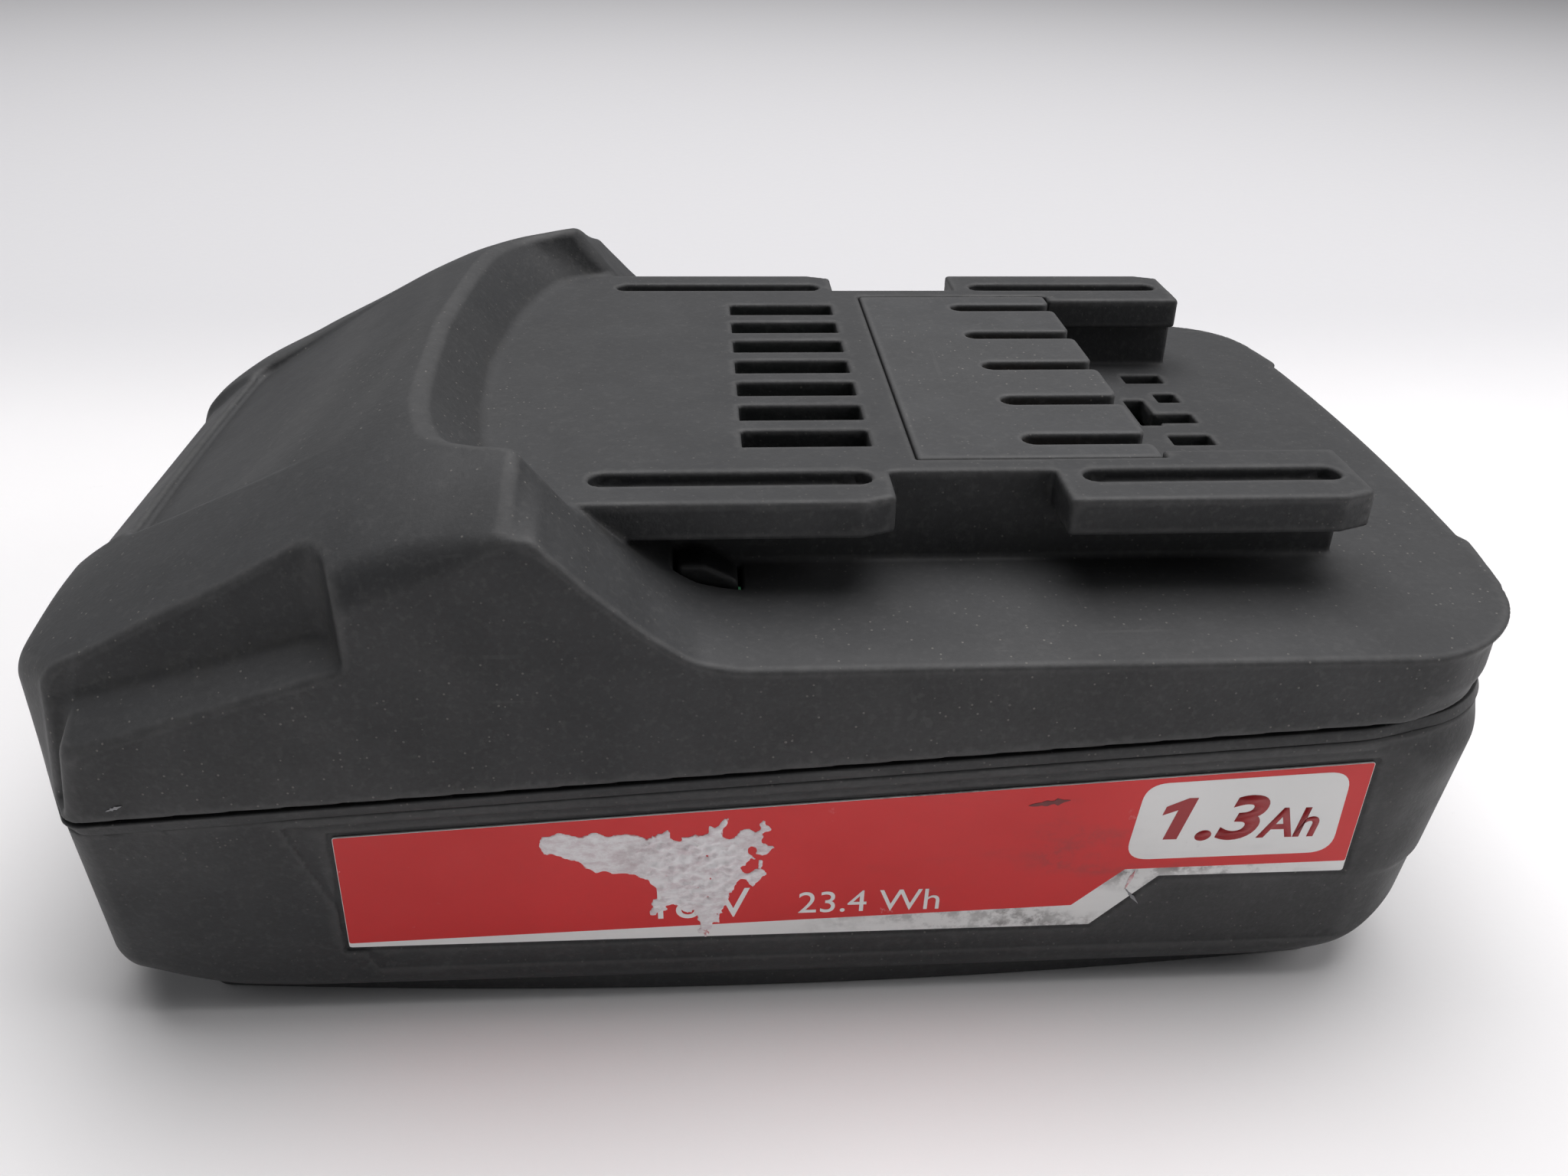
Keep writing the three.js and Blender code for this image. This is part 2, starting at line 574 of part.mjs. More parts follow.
// A nickel strip on the cell ends from cell a to cell b, with a solder tab folded over to the board.
function busbar(side, a, b) {
  const inner = CELL.length / 2 + STRIP.gap;
  const outer = inner + STRIP.thickness;
  const span = (from, to) => [side * from, side * to].sort((p, q) => p - q);
  const [y0, y1] = span(inner, outer);
  const reach = 3.4;
  const middle = (cellX(a) + cellX(b)) / 2;
  const tab = [middle - STRIP.tabWidth / 2, middle + STRIP.tabWidth / 2];
  const tabZ = HOLDER.topZ + 0.1;
  const [t0, t1] = span(BOARD.half + 0.1, outer);
  return join([
    box(cellX(a) - reach, cellX(b) + reach, y0, y1, CELL.z - STRIP.halfHeight, CELL.z + STRIP.halfHeight),
    box(...tab, y0, y1, CELL.z, tabZ + STRIP.thickness),
    box(...tab, t0, t1, tabZ, tabZ + STRIP.thickness),
  ]);
}

function insulator(side) {
  const inner = CELL.length / 2 + STRIP.gap + STRIP.thickness + 0.2;
  const [y0, y1] = [side * inner, side * (inner + 0.3)].sort((a, b) => a - b);
  return box(cellX(0) - 6, cellX(CELL.count - 1) + 6, y0, y1, 5.2, 24.6);
}

function circuitBoard() {
  const edge = 3;
  const outline = [
    [BOARD.from, -BOARD.half + edge], [BOARD.from + edge, -BOARD.half], [BOARD.to - edge, -BOARD.half],
    [BOARD.to, -BOARD.half + edge], [BOARD.to, BOARD.half - edge], [BOARD.to - edge, BOARD.half],
    [BOARD.from + edge, BOARD.half], [BOARD.from, BOARD.half - edge],
  ];
  return prismUp(outline, BOARD.bottomZ, BOARD_TOP_Z);
}

// A glass bead in the valley between two cells, on two stiff leads up to the board.
function temperatureSensor() {
  const x = (cellX(2) + cellX(3)) / 2;
  const geometry = new THREE.CapsuleGeometry(1.2, 3, 4, 12);
  geometry.translate(x, 0, 20.8);
  const leads = [-1, 1].map((y) => cylinderUp(x, y, 0.3, 20.8, BOARD.bottomZ - 0.1, 8));
  return join([toSolid(geometry), ...leads]);
}

const terminalY = (i) => (i - (TERMINAL.count - 1) / 2) * TERMINAL.pitch;

function terminalBlock() {
  const bottom = BOARD_TOP_Z + 0.1;
  const body = box(TERMINAL.from, TERMINAL.to, -TERMINAL.half, TERMINAL.half, bottom, BLOCK_TOP_Z);
  const flange = box(
    TERMINAL.from - TERMINAL.flangeReach, TERMINAL.to + TERMINAL.flangeReach, -TERMINAL.half, TERMINAL.half,
    bottom, bottom + TERMINAL.flangeHeight);
  const openings = Array.from({ length: TERMINAL.count }, (_, i) => {
    const y = terminalY(i);
    const half = TERMINAL.slotWidth / 2;
    const mouth = box(TERMINAL.slotFrom + half, FAR, y - half, y + half, DECK_Z + 0.6, FAR);
    const end = cylinderUp(TERMINAL.slotFrom + half, y, half, BLOCK_TOP_Z - 3, FAR, 12);
    const room = box(CONTACT.from - 0.6, CONTACT.to + 0.6, y - 1.8, y + 1.8, 0, BLOCK_TOP_Z - 1.6);
    return join([mouth, end, room]);
  });
  return openings.reduce((left, opening) => left.subtract(opening), body.add(flange));
}

// A folded clip: two spring leaves on one foot that stands on the board.
function contact(i) {
  const y = terminalY(i);
  const outer = CONTACT.halfGap + CONTACT.leaf;
  const bottom = BOARD_TOP_Z + 0.05;
  const clip = box(CONTACT.from, CONTACT.to, y - outer, y + outer, bottom, CONTACT.topZ);
  const mouth = box(
    CONTACT.from - 1, CONTACT.to + 1, y - CONTACT.halfGap, y + CONTACT.halfGap,
    bottom + CONTACT.baseHeight, FAR);
  return clip.subtract(mouth);
}

// ---- Release latch ------------------------------------------------------------------------------------

function releaseLatch() {
  const backX = LATCH.plateX + LATCH.plateThickness;
  const plate = box(
    LATCH.plateX, backX, -LATCH.plateHalf, LATCH.plateHalf, LATCH.plateBottomZ, LATCH.barTopZ);
  const bar = box(LATCH.plateX, backX, -LATCH.armOuter, LATCH.armOuter, LATCH.barBottomZ, LATCH.barTopZ);
  const shelves = bothSides((side) => {
    const y = side * SPRING.y;
    return box(
      LATCH.plateX, SPRING.x + SPRING.shelf - 0.2, y - SPRING.shelf, y + SPRING.shelf,
      LATCH.plateBottomZ, LATCH.plateBottomZ + 1.4);
  });
  const button = loft([0, 1].map((t) => {
    const taper = 0.4 * t;
    const [halfY, z0, z1] = [LATCH.buttonHalf - taper, LATCH.buttonFrom + taper, LATCH.buttonTo - taper];
    const x = mix(LATCH.plateX + 0.5, LATCH.buttonX, t);
    return [[x, -halfY, z0], [x, halfY, z0], [x, halfY, z1], [x, -halfY, z1]];
  }), alongX);
  const arms = bothSides((side) => {
    const [y0, y1] = [side * LATCH.armInner, side * LATCH.armOuter].sort((a, b) => a - b);
    const arm = prismAcross([
      [LATCH.plateX, LATCH.barBottomZ], [LATCH.armRiseX, LATCH.barBottomZ],
      [LATCH.armRiseX + 4, LATCH.armBottomZ], [LATCH.armEndX, LATCH.armBottomZ],
      [LATCH.armEndX, LATCH.armTopZ], [LATCH.armRiseX + 3, LATCH.armTopZ],
      [LATCH.armRiseX - 1, LATCH.barTopZ], [LATCH.plateX, LATCH.barTopZ],
    ], y0, y1);
    const ramp = prismAcross([
      [LATCH.catchFrom, LATCH.armTopZ - 1], [LATCH.catchTo, LATCH.armTopZ - 1],
      [LATCH.catchTo, DECK_Z + 0.3], [LATCH.catchFrom + LATCH.catchFlat, LATCH.catchTopZ],
      [LATCH.catchFrom, LATCH.catchTopZ],
    ], y0, y1);
    return arm.add(ramp);
  });
  return join([plate, bar, shelves, button, arms]);
}

class Helix extends THREE.Curve {
  constructor(radius, height, turns) {
    super();
    Object.assign(this, { radius, height, turns });
  }

  getPoint(t, target = new THREE.Vector3()) {
    const angle = t * this.turns * 2 * Math.PI;
    return target.set(this.radius * Math.cos(angle), this.radius * Math.sin(angle), this.height * t);
  }
}

function latchSpring(side) {
  const wire = SPRING.wire / 2;
  const height = SPRING_TOP_Z - SPRING.bottomZ - SPRING.wire;
  const section = new THREE.Shape(arcPoints(0, 0, wire, 0, 2 * Math.PI * 5 / 6, 5)
    .map(([x, y]) => new THREE.Vector2(x, y)));
  const geometry = new THREE.ExtrudeGeometry(section, {
    steps: SPRING.turns * 12,
    extrudePath: new Helix(SPRING.coilRadius, height, SPRING.turns),
    bevelEnabled: false,
  });
  geometry.translate(SPRING.x, side * SPRING.y, SPRING.bottomZ + wire);
  return toSolid(geometry);
}

// A pan-head screw: the head sits in its bore, and the shank reaches into the upper shell.
function shellScrew(x, y) {
  const seat = partingZ(x) - SCREW_SEAT_DEPTH;
  const tip = partingZ(x) + SCREW_BITE;
  const profile = [
    [0, seat - 2], [SCREW.headRadius - 0.7, seat - 2], [SCREW.headRadius, seat - 1.2],
    [SCREW.headRadius, seat - 0.1], [SCREW.shankRadius, seat - 0.1], [SCREW.shankRadius, tip - 1.4], [0, tip],
  ];
  const geometry = new THREE.LatheGeometry(profile.map(([r, z]) => new THREE.Vector2(r, z)), 18);
  geometry.rotateX(Math.PI / 2);
  geometry.translate(x, y, 0);
  return toSolid(geometry);
}

// ---- The pack -----------------------------------------------------------------------------------------

const FINISH = {
  shell: { color: 0x3a3b40, roughness: 0.62, metalness: 0 },
  block: { color: 0x36373b, roughness: 0.55, metalness: 0 },
  label: { color: 0xb3262c, roughness: 0.38, metalness: 0 },
  cell: { color: 0x3f7f8f, roughness: 0.4, metalness: 0 },
  holder: { color: 0x1b1c1f, roughness: 0.6, metalness: 0 },
  nickel: { color: 0xb9bab6, roughness: 0.32, metalness: 1 },
  copper: { color: 0xc08a55, roughness: 0.3, metalness: 1 },
  board: { color: 0x1f5a36, roughness: 0.45, metalness: 0 },
  paper: { color: 0xb8b39c, roughness: 0.8, metalness: 0 },
  bead: { color: 0x24262b, roughness: 0.35, metalness: 0 },
  latch: { color: 0x2c2d31, roughness: 0.5, metalness: 0 },
  steel: { color: 0x8d9094, roughness: 0.3, metalness: 1 },
};

const pack = new THREE.Group();

function place(name, solid, finish) {
  const mesh = new THREE.Mesh(toGeometry(solid), new THREE.MeshStandardMaterial(FINISH[finish]));
  mesh.name = name;
  pack.add(mesh);
}

const sideName = (side) => (side > 0 ? 'left' : 'right');

place('upper_shell', upperShell(), 'shell');
place('lower_shell', lowerShell(), 'shell');
place('terminal_block', terminalBlock(), 'block');
place('release_latch', releaseLatch(), 'latch');
place('circuit_board', circuitBoard(), 'board');
place('temperature_sensor', temperatureSensor(), 'bead');
for (let i = 0; i < TERMINAL.count; i += 1) place(`contact_${i + 1}`, contact(i), 'copper');
for (let i = 0; i < CELL.count; i += 1) place(`cell_${i + 1}`, cell(i), 'cell');
for (const side of [1, -1]) {
  place(`cell_holder_${sideName(side)}`, cellHolder(side), 'holder');
  place(`insulator_${sideName(side)}`, insulator(side), 'paper');
  place(`label_${sideName(side)}`, label(side), 'label');
  place(`latch_spring_${sideName(side)}`, latchSpring(side), 'steel');
}
place('busbar_left_1', busbar(1, 0, 0), 'nickel');
place('busbar_left_2', busbar(1, 1, 2), 'nickel');
place('busbar_left_3', busbar(1, 3, 4), 'nickel');
place('busbar_right_1', busbar(-1, 0, 1), 'nickel');
place('busbar_right_2', busbar(-1, 2, 3), 'nickel');
place('busbar_right_3', busbar(-1, 4, 4), 'nickel');
for (const [name, x, y] of SCREW_PLACES) place(name, shellScrew(x, y), 'steel');

export default pack;
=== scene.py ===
"""Looks for the slide-on battery pack: moulded shells, latch, labels, screws and springs on the frame."""

import math
from functools import reduce

import bmesh
import bpy
import numpy as np
from mathutils import Matrix, Vector


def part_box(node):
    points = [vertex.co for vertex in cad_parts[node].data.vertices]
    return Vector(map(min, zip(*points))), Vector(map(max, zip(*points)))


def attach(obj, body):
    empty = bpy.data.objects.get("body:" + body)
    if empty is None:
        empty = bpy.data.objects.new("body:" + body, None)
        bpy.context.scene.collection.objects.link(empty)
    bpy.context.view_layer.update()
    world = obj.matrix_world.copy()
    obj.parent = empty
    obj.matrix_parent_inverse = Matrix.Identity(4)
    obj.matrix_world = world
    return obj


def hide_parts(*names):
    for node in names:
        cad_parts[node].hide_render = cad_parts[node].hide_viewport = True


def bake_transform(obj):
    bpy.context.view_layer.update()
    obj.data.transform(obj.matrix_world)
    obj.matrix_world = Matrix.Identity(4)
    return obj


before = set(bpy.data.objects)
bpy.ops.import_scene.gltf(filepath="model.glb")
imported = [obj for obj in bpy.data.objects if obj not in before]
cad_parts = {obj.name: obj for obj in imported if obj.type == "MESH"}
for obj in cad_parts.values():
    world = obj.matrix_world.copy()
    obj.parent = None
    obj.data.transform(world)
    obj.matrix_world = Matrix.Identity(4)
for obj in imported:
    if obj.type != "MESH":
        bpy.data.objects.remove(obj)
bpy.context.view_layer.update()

MM = 0.001
STEP = 0.27      # grid of the moulded shells, in millimetres
FINE_STEP = 0.17  # grid of the small moulded pieces


# ---- Distance fields, in millimetres: negative inside the material ----


def both(a, b, r):
    """Where a and b are both solid, with the edge between them rounded to r."""
    return np.minimum(np.maximum(a, b), -r) + np.hypot(np.maximum(a + r, 0), np.maximum(b + r, 0))


def either(a, b, r):
    """Where a or b is solid, with the corner between them filled to r."""
    return np.maximum(np.minimum(a, b), r) - np.hypot(np.maximum(r - a, 0), np.maximum(r - b, 0))


def meet(*solids):
    """Where all are solid, with sharp edges."""
    return reduce(np.maximum, solids)


def join(*solids):
    """Where any is solid, with sharp corners."""
    return reduce(np.minimum, solids)


def cut(a, b, r):
    return both(a, -b, r)


def slab(v, low, high):
    return np.maximum(low - v, v - high)


def block(x, y, z, xs, ys, zs, r):
    return both(both(slab(x, *xs), slab(y, *ys), r), slab(z, *zs), r)


def ease(v, a, b):
    t = np.clip((v - a) / (b - a), 0, 1)
    return t * t * (3 - 2 * t)


class Curve:
    """A smooth monotone curve through points, read from a fine table."""

    def __init__(self, points):
        x, y = np.array(points, float).T
        h = np.diff(x)
        d = np.diff(y) / h
        m = np.concatenate([[d[0]], np.zeros(len(x) - 2), [d[-1]]])
        for i in range(1, len(x) - 1):
            if d[i - 1] * d[i] > 0:
                w1, w2 = 2 * h[i] + h[i - 1], h[i] + 2 * h[i - 1]
                m[i] = (w1 + w2) / (w1 / d[i - 1] + w2 / d[i])
        self.at = np.linspace(x[0], x[-1], 3000)
        i = np.clip(np.searchsorted(x, self.at) - 1, 0, len(h) - 1)
        t = (self.at - x[i]) / h[i]
        self.value = (
            y[i] * (1 + 2 * t) * (1 - t) ** 2 + h[i] * m[i] * t * (1 - t) ** 2
            + y[i + 1] * t * t * (3 - 2 * t) + h[i] * m[i + 1] * t * t * (t - 1)
        )
        self.slope = np.gradient(self.value, self.at)

    def __call__(self, v):
        return np.interp(v, self.at, self.value)

    def rise(self, v):
        return np.interp(v, self.at, self.slope)


# ---- The pack's shapes, with the CAD source's sizes ----
# x runs from the nose to the terminals, z up, and s is the distance from the middle plane.

FRONT_X, REAR_X, HALF_WIDTH = -59.5, 60.0, 38.6
NOSE_CORNER, TAIL_CORNER, WALL = 1.2, 10.5, 2.2
NOSE_HALF, NOSE_SLANT, NOSE_LEAN, NOSE_SOFT = 29.2, 0.585, 0.27, 1.5
TAIL_HALF, TAIL_BOW, TAIL_STEP, TAIL_SWEEP = 20.5, 0.7, 0.5, 0.12
PARTING_Z, PARTING_SLOPE, PARTING_GAP = 26.1, 0.065, 0.3
DECK_Z, BLOCK_TOP, SHOULDER_Z = 36.4, 44.3, 49.8
BLOCK_FROM, BLOCK_TO, BLOCK_HALF, BLOCK_INNER = -26, 46.7, 23.7, 21.5
RAIL_HALF, RAIL_UNDER, FRONT_RAIL, REAR_RAIL = 29.2, 41.1, (-24, 8.9), (22.3, BLOCK_TO)
FRONT_GROOVE, REAR_GROOVE, GROOVE_S, GROOVE_HALF, GROOVE_DEPTH = (-14.8, 7.4), (24.3, 45.3), 24.75, 1.15, 1.2
VENT_X, VENT_PITCH, VENT_HALF, VENT_DEPTH = (-2.6, 8.1), 5.66, 1.655, 4
DRAIN_X, DRAIN_PITCH, DRAIN_HALF, DRAIN_SHORT = (40.7, 44.9), 5.6, 1.25, 1.9
BAY_FROM, BAY_TO = 11.4, 32.2
NOTCH_X, NOTCH_S, NOTCH_TOP, NOTCH_FRONT, NOTCH_FOOT = -31, 33, 50.3, -53.1, 23.2
LEDGE_Z, LEDGE_SLOPE, LEDGE_RISE, LEDGE_GROWTH, LEDGE_WIDTH = 36.2, 0.33, 1.3, 0.075, 3.6
SCOOP_X, SCOOP_HALF, SCOOP_DEPTH = -50, 18, 1.25
DISH_FRONT, DISH_Z, DISH_SLOPE, DISH_HALF, DISH_WIDENING, DISH_BOW = -52.5, 36.2, 0.594, 18.8, 0.267, 0.8
ARM_S, BUTTON_Z = (24.6, 27.6), (27.5, 30.1)
NICK = (59.3, -29.6, 36.6, 0.9)   # place and radius of the chip in the rear edge of the deck

# Heights of the head and the slope along x, and how much of the crown's fall across s each one has.
HEAD = Curve([(-66, 24.5), (-61, 30.6), (-59, 33), (-57.5, 34.6), (-47.8, 40), (-40, 44.1), (-34, 47.2),
              (-29, 49.2), (-24, 50.4), (-19.2, 50.9), (-10, 51.2)])
SLOPE = Curve([(-24, 61.3), (-19.2, 50.8), (-17.2, 47.2), (-14.6, 43.9), (-12, 41.4), (-9, 38.8), (-6, 37.0),
               (-2.5, 36.42), (0, DECK_Z), (70, DECK_Z)])
HEAD_FALL = Curve([(-66, .7), (-59, .85), (-57.5, .9), (-47.8, .9), (-40, 1.05), (-34, 1.08), (-24, 1),
                   (-19.2, .85), (-10, .8)])
SLOPE_FALL = Curve([(-26, 1.6), (-19.2, .85), (-17.2, .3), (-14.6, .2), (70, .2)])
CROWN = Curve([(0, 0), (20, .25), (27, 1.1), (32, 2.3), (35.4, 3.6), (38.7, 5.5), (42, 8)])
# Foot and upper edge, x over s, of the arc wall that the head drops to the block in.
ARC_BASE = Curve([(0, -25.2), (10, -24.6), (19, -23.2), (25, -21.3), (28.4, -18.2), (30, -14.6), (31.5, -10),
                  (45, 0)])
ARC_TOP = Curve([(0, -29.6), (4, -29.4), (14.8, -28.8), (25.2, -27.2), (27.2, -25.8), (28.4, -23.4),
                 (29.6, -20), (31.2, -16), (33, -10), (45, -2)])


def parting(x):
    return PARTING_Z + PARTING_SLOPE * x


def plan(x, s, inset=0.0, front=FRONT_X, rear=REAR_X, half=HALF_WIDTH, lean=0.0):
    """The pack seen from above. The nose slants back to its corners, and the tail is bowed, with a step."""
    past = s - NOSE_HALF + lean * ease(s, 29, 35)
    reach = np.sqrt(past ** 2 + NOSE_SOFT)
    steep = NOSE_SLANT / 2 * (1 + past / reach)
    nose = (front + NOSE_SLANT / 2 * (past + reach) - x) / np.sqrt(1 + steep ** 2)
    bow = TAIL_BOW * np.minimum(s / TAIL_HALF, 1) ** 2
    step_end = TAIL_HALF + 1.5
    step = TAIL_STEP * ease(s, TAIL_HALF, step_end)
    tail = x - rear + bow - step + TAIL_SWEEP * np.clip(s - step_end, 0, 8)
    corner = np.where(x < 0, NOSE_CORNER, TAIL_CORNER - inset)
    return both(meet(nose, tail) + inset, s - half + inset, corner)


def top_of(x, s, z, lower=0.0):
    """The head and the swept slope that falls from its crest to the deck."""
    crown, crown_rise = CROWN(s), CROWN.rise(s)
    head, slope = [
        (z - along(x) + fall(x) * crown) / np.sqrt(1 + along.rise(x) ** 2 + (fall(x) * crown_rise) ** 2)
        for along, fall in ((HEAD, HEAD_FALL), (SLOPE, SLOPE_FALL))]
    return both(head + lower, slope + lower, 0.5)


def finger_notch(x, s, z):
    """The recess in the head's side, over a slanted ledge that drops to the parting line at the nose."""
    ledge = LEDGE_Z + LEDGE_SLOPE * (x - NOTCH_X)
    rise = LEDGE_RISE + LEDGE_GROWTH * np.clip(NOTCH_X - x, 0, 28)
    face = NOTCH_S + 2 * np.clip((NOTCH_TOP - z) / (NOTCH_TOP - ledge - rise), 0, 1.6) - s
    end = ((x - NOTCH_X + 2.5) * 7.1 - (s - NOTCH_S) * 2.5) / 7.53
    slant = rise / LEDGE_WIDTH
    floor = (ledge + rise - slant * np.clip(s - 35, 0, 6) - z) / np.sqrt(1.11 + slant ** 2)
    hollow = both(both(face, end, 1.8), floor, 0.5)
    front_end = x - NOTCH_FRONT + 0.18 * (28.9 - z)
    drop = both(both(face, front_end, 0.8), NOTCH_FOOT - z, 0.5)
    return either(hollow, drop, 0.6)


def thumb_scoop(x, s, z):
    """The nose's top edge is lower where the thumb rolls on to the button."""
    lowered = (HEAD(x) - SCOOP_DEPTH * ease(-x, 51, 57.5) - z) * 0.88
    return both(meet(x - SCOOP_X, s - SCOOP_HALF), lowered, 1.2)


def dish(x, s, z):
    """Shallow panel in the head with sloped rims; its floor meets the top near the crest."""
    past = x - DISH_FRONT
    slant = (DISH_Z + past * DISH_SLOPE - z) * 0.86
    side = (s - DISH_HALF - past * DISH_WIDENING + slant * 0.6) * 0.85
    front = (slant * 0.7 - past - DISH_BOW * (1 - np.minimum(s / DISH_HALF, 1) ** 2)) * 0.82
    return both(both(side, front, 1.2), slant, 0.3)


def row(y, pitch, count):
    """Distance across from the middle of the nearest slot of a row."""
    last = (count - 1) / 2
    return y - np.clip(np.round(y / pitch + last) - last, -last, last) * pitch


def rails(x, s, z, start, end):
    """A pair of rails; their rear corners are cut off aslant."""
    corner = (s - RAIL_HALF + (x - end + 2.6) * 0.385) * 0.93
    outline = meet(both(slab(x, start, end), slab(s, 20, RAIL_HALF), 0.35), corner)
    return both(outline, slab(z, RAIL_UNDER, BLOCK_TOP), 0.35)


def rail_groove(x, s, z, start, end):
    """A shallow slot with round ends in a rail's top."""
    past = np.clip(x, start + GROOVE_HALF, end - GROOVE_HALF) - x
    return meet(np.hypot(past, s - GROOVE_S) - GROOVE_HALF, BLOCK_TOP - GROOVE_DEPTH - z)


def deck_holes(x, y, z):
    """Seven drain slots; one is short, and one runs into a pocket beside it."""
    start = DRAIN_X[0] + DRAIN_SHORT * (np.abs(y - 2 * DRAIN_PITCH) < DRAIN_PITCH / 2)
    slots = meet(np.abs(row(y, DRAIN_PITCH, 7)) - DRAIN_HALF, slab(x, start, DRAIN_X[1]))
    pocket = meet(slab(x, 38.9, 41), slab(y, 3.8, 10.7))
    return meet(join(slots, pocket), DECK_Z - WALL - 1 - z)


def latch_windows(x, s, z):
    button = meet(x + 56.2, s - 13.3, slab(z, 23.9, 30.6))
    gap = 0.3
    catches = meet(slab(x, -8 - gap, -3.2 + gap), slab(s, ARM_S[0] - gap, ARM_S[1] + gap), z - 40.9)
    return join(button, catches)


def upper_shell(x, y, z):
    s = np.abs(y)
    soft = 2.0 - 1.1 * ease(-x, 50, 56) - 1.55 * ease(x, -27, -17)
    top = top_of(x, s, z)
    undercut = 0.45 * ease(parting(x) + 2.4 - z, 0, 2.0) * ease(x, 47, 51) * ease(s, 22, 24)
    rear = REAR_X + 0.2 - 1.1 * ease(36.3 - z, 0, 2)
    body = both(plan(x, s, undercut, rear=rear, lean=NOSE_LEAN * (z - 22.5)), top, soft)
    t = np.clip((z - BLOCK_TOP) / (SHOULDER_Z - BLOCK_TOP), 0, 1.6)
    base, over = ARC_BASE(s), ARC_TOP(s)
    bend = ARC_BASE.rise(s) + (ARC_TOP.rise(s) - ARC_BASE.rise(s)) * t
    steep = (over - base) / (SHOULDER_Z - BLOCK_TOP)
    wall = (base + (over - base) * t - x) / np.sqrt(1 + bend ** 2 + steep ** 2)
    for hollow, r in ((both(wall, BLOCK_TOP - z, 0.5), 0.9), (thumb_scoop(x, s, z), 0.9),
                      (finger_notch(x, s, z), 0.5), (dish(x, s, z), 0.45)):
        body = cut(body, hollow, r)
    raised = block(x, s, z, (BLOCK_FROM, BLOCK_TO), (-1, BLOCK_HALF), (30, BLOCK_TOP), 0.3)
    raised = cut(raised, meet(BAY_FROM - x, s - BLOCK_INNER, DECK_Z - 0.3 - z), 0.25)
    raised = join(raised, rails(x, s, z, *FRONT_RAIL), rails(x, s, z, *REAR_RAIL))
    body = either(body, raised, 0.45 * np.clip((43.6 - z) / 1.5, 0, 1))
    grooves = join(rail_groove(x, s, z, *FRONT_GROOVE), rail_groove(x, s, z, *REAR_GROOVE))
    body = cut(body, grooves, 0.25)
    vents = meet(np.abs(row(y, VENT_PITCH, 7)) - VENT_HALF, slab(x, *VENT_X))
    body = cut(body, meet(vents, BLOCK_TOP - VENT_DEPTH - z), 0.22)
    body = cut(body, deck_holes(x, y, z), 0.22)
    room = meet(both(plan(x, s, WALL), top_of(x, s, z, WALL), 0.6), z - BLOCK_TOP + WALL)
    room = cut(room, meet(x - NOTCH_X - WALL, NOTCH_S - WALL - s), 0.5)
    room = join(room, meet(slab(x, -30, 8.7), s - BLOCK_INNER, z - BLOCK_TOP + WALL))
    body = meet(body, -room, -meet(slab(x, BAY_FROM, BAY_TO), s - BLOCK_INNER))
    body = cut(body, latch_windows(x, s, z), 0.3)
    body = cut(body, np.hypot(np.hypot(x - NICK[0], y - NICK[1]), z - NICK[2]) - NICK[3], 0.1)
    return both(body, (parting(x) + PARTING_GAP / 2 - z) * 0.998, 0.22)


NOSE_DRAFT, REAR_DRAFT, SIDE_DRAFT = 0.06, 0.045, 0.1


def side_wall(z):
    return HALF_WIDTH - SIDE_DRAFT * (PARTING_Z - z)


def lip_inset(x, z):
    """The tub's upper edge is rolled in round its rear."""
    return 0.9 * ease(x, 44, 52) * ease(z - parting(x) + 5, 0, 4)


def lower_outline(x, s, z, inset=0.0):
    """The tub's drafted walls, with a fine step across the rear."""
    depth = PARTING_Z - z
    rear = REAR_X - REAR_DRAFT * depth - 0.4 * ease(13 - z, 0, 0.9)
    return plan(x, s, inset, FRONT_X + NOSE_DRAFT * depth, rear, side_wall(z))


BELLY = Curve([(-62, 8.9), (-56, 6.3), (-52.5, 4.8), (-48.5, 3.2), (-45, 2.3), (-38, 1.9), (0, 1.8),
               (38, 1.9), (45, 2.1), (48.5, 3.0), (54.4, 6.2), (58, 8.6), (62, 11.6)])
LABEL_FROM, LABEL_TO, LABEL_LEAN, LABEL_BELOW = -35.2, 46.9, 0.055, 3.6
LABEL_LOW, LABEL_STEP_FROM, LABEL_STEP_TO, LABEL_HIGH = 7.5, 26.5, 31.5, 13.3
LABEL_RECESS, LABEL_MARGIN, LABEL_FILM = 0.35, 0.4, 0.15
COLUMNS = ((-52.3, 20), (51.2, 24))   # axes [x, s] of the screw columns
COLUMN_RADIUS, HEAD_BORE, SHANK_BORE = 3.2, 2.6, 1.7
SLOT_PITCH, SLOT_HALF, SLOT_END = 8.77, 1.05, 22.05
RIM = 1.15   # height of the lip band under the parting line


def label_area(x, z):
    """The label's outline in its side wall: a long strip whose lower edge steps up towards the rear."""
    run, climb = LABEL_STEP_TO - LABEL_STEP_FROM, LABEL_HIGH - LABEL_LOW
    step = ((x - LABEL_STEP_FROM) * climb - (z - LABEL_LOW) * run) / math.hypot(run, climb)
    low = meet(LABEL_LOW - z, join(step, LABEL_HIGH - z))
    ends = slab(x, LABEL_FROM + LABEL_LEAN * (z - 14), LABEL_TO - LABEL_LEAN * (z - 20))
    return meet(ends, z - parting(x) + LABEL_BELOW, low)


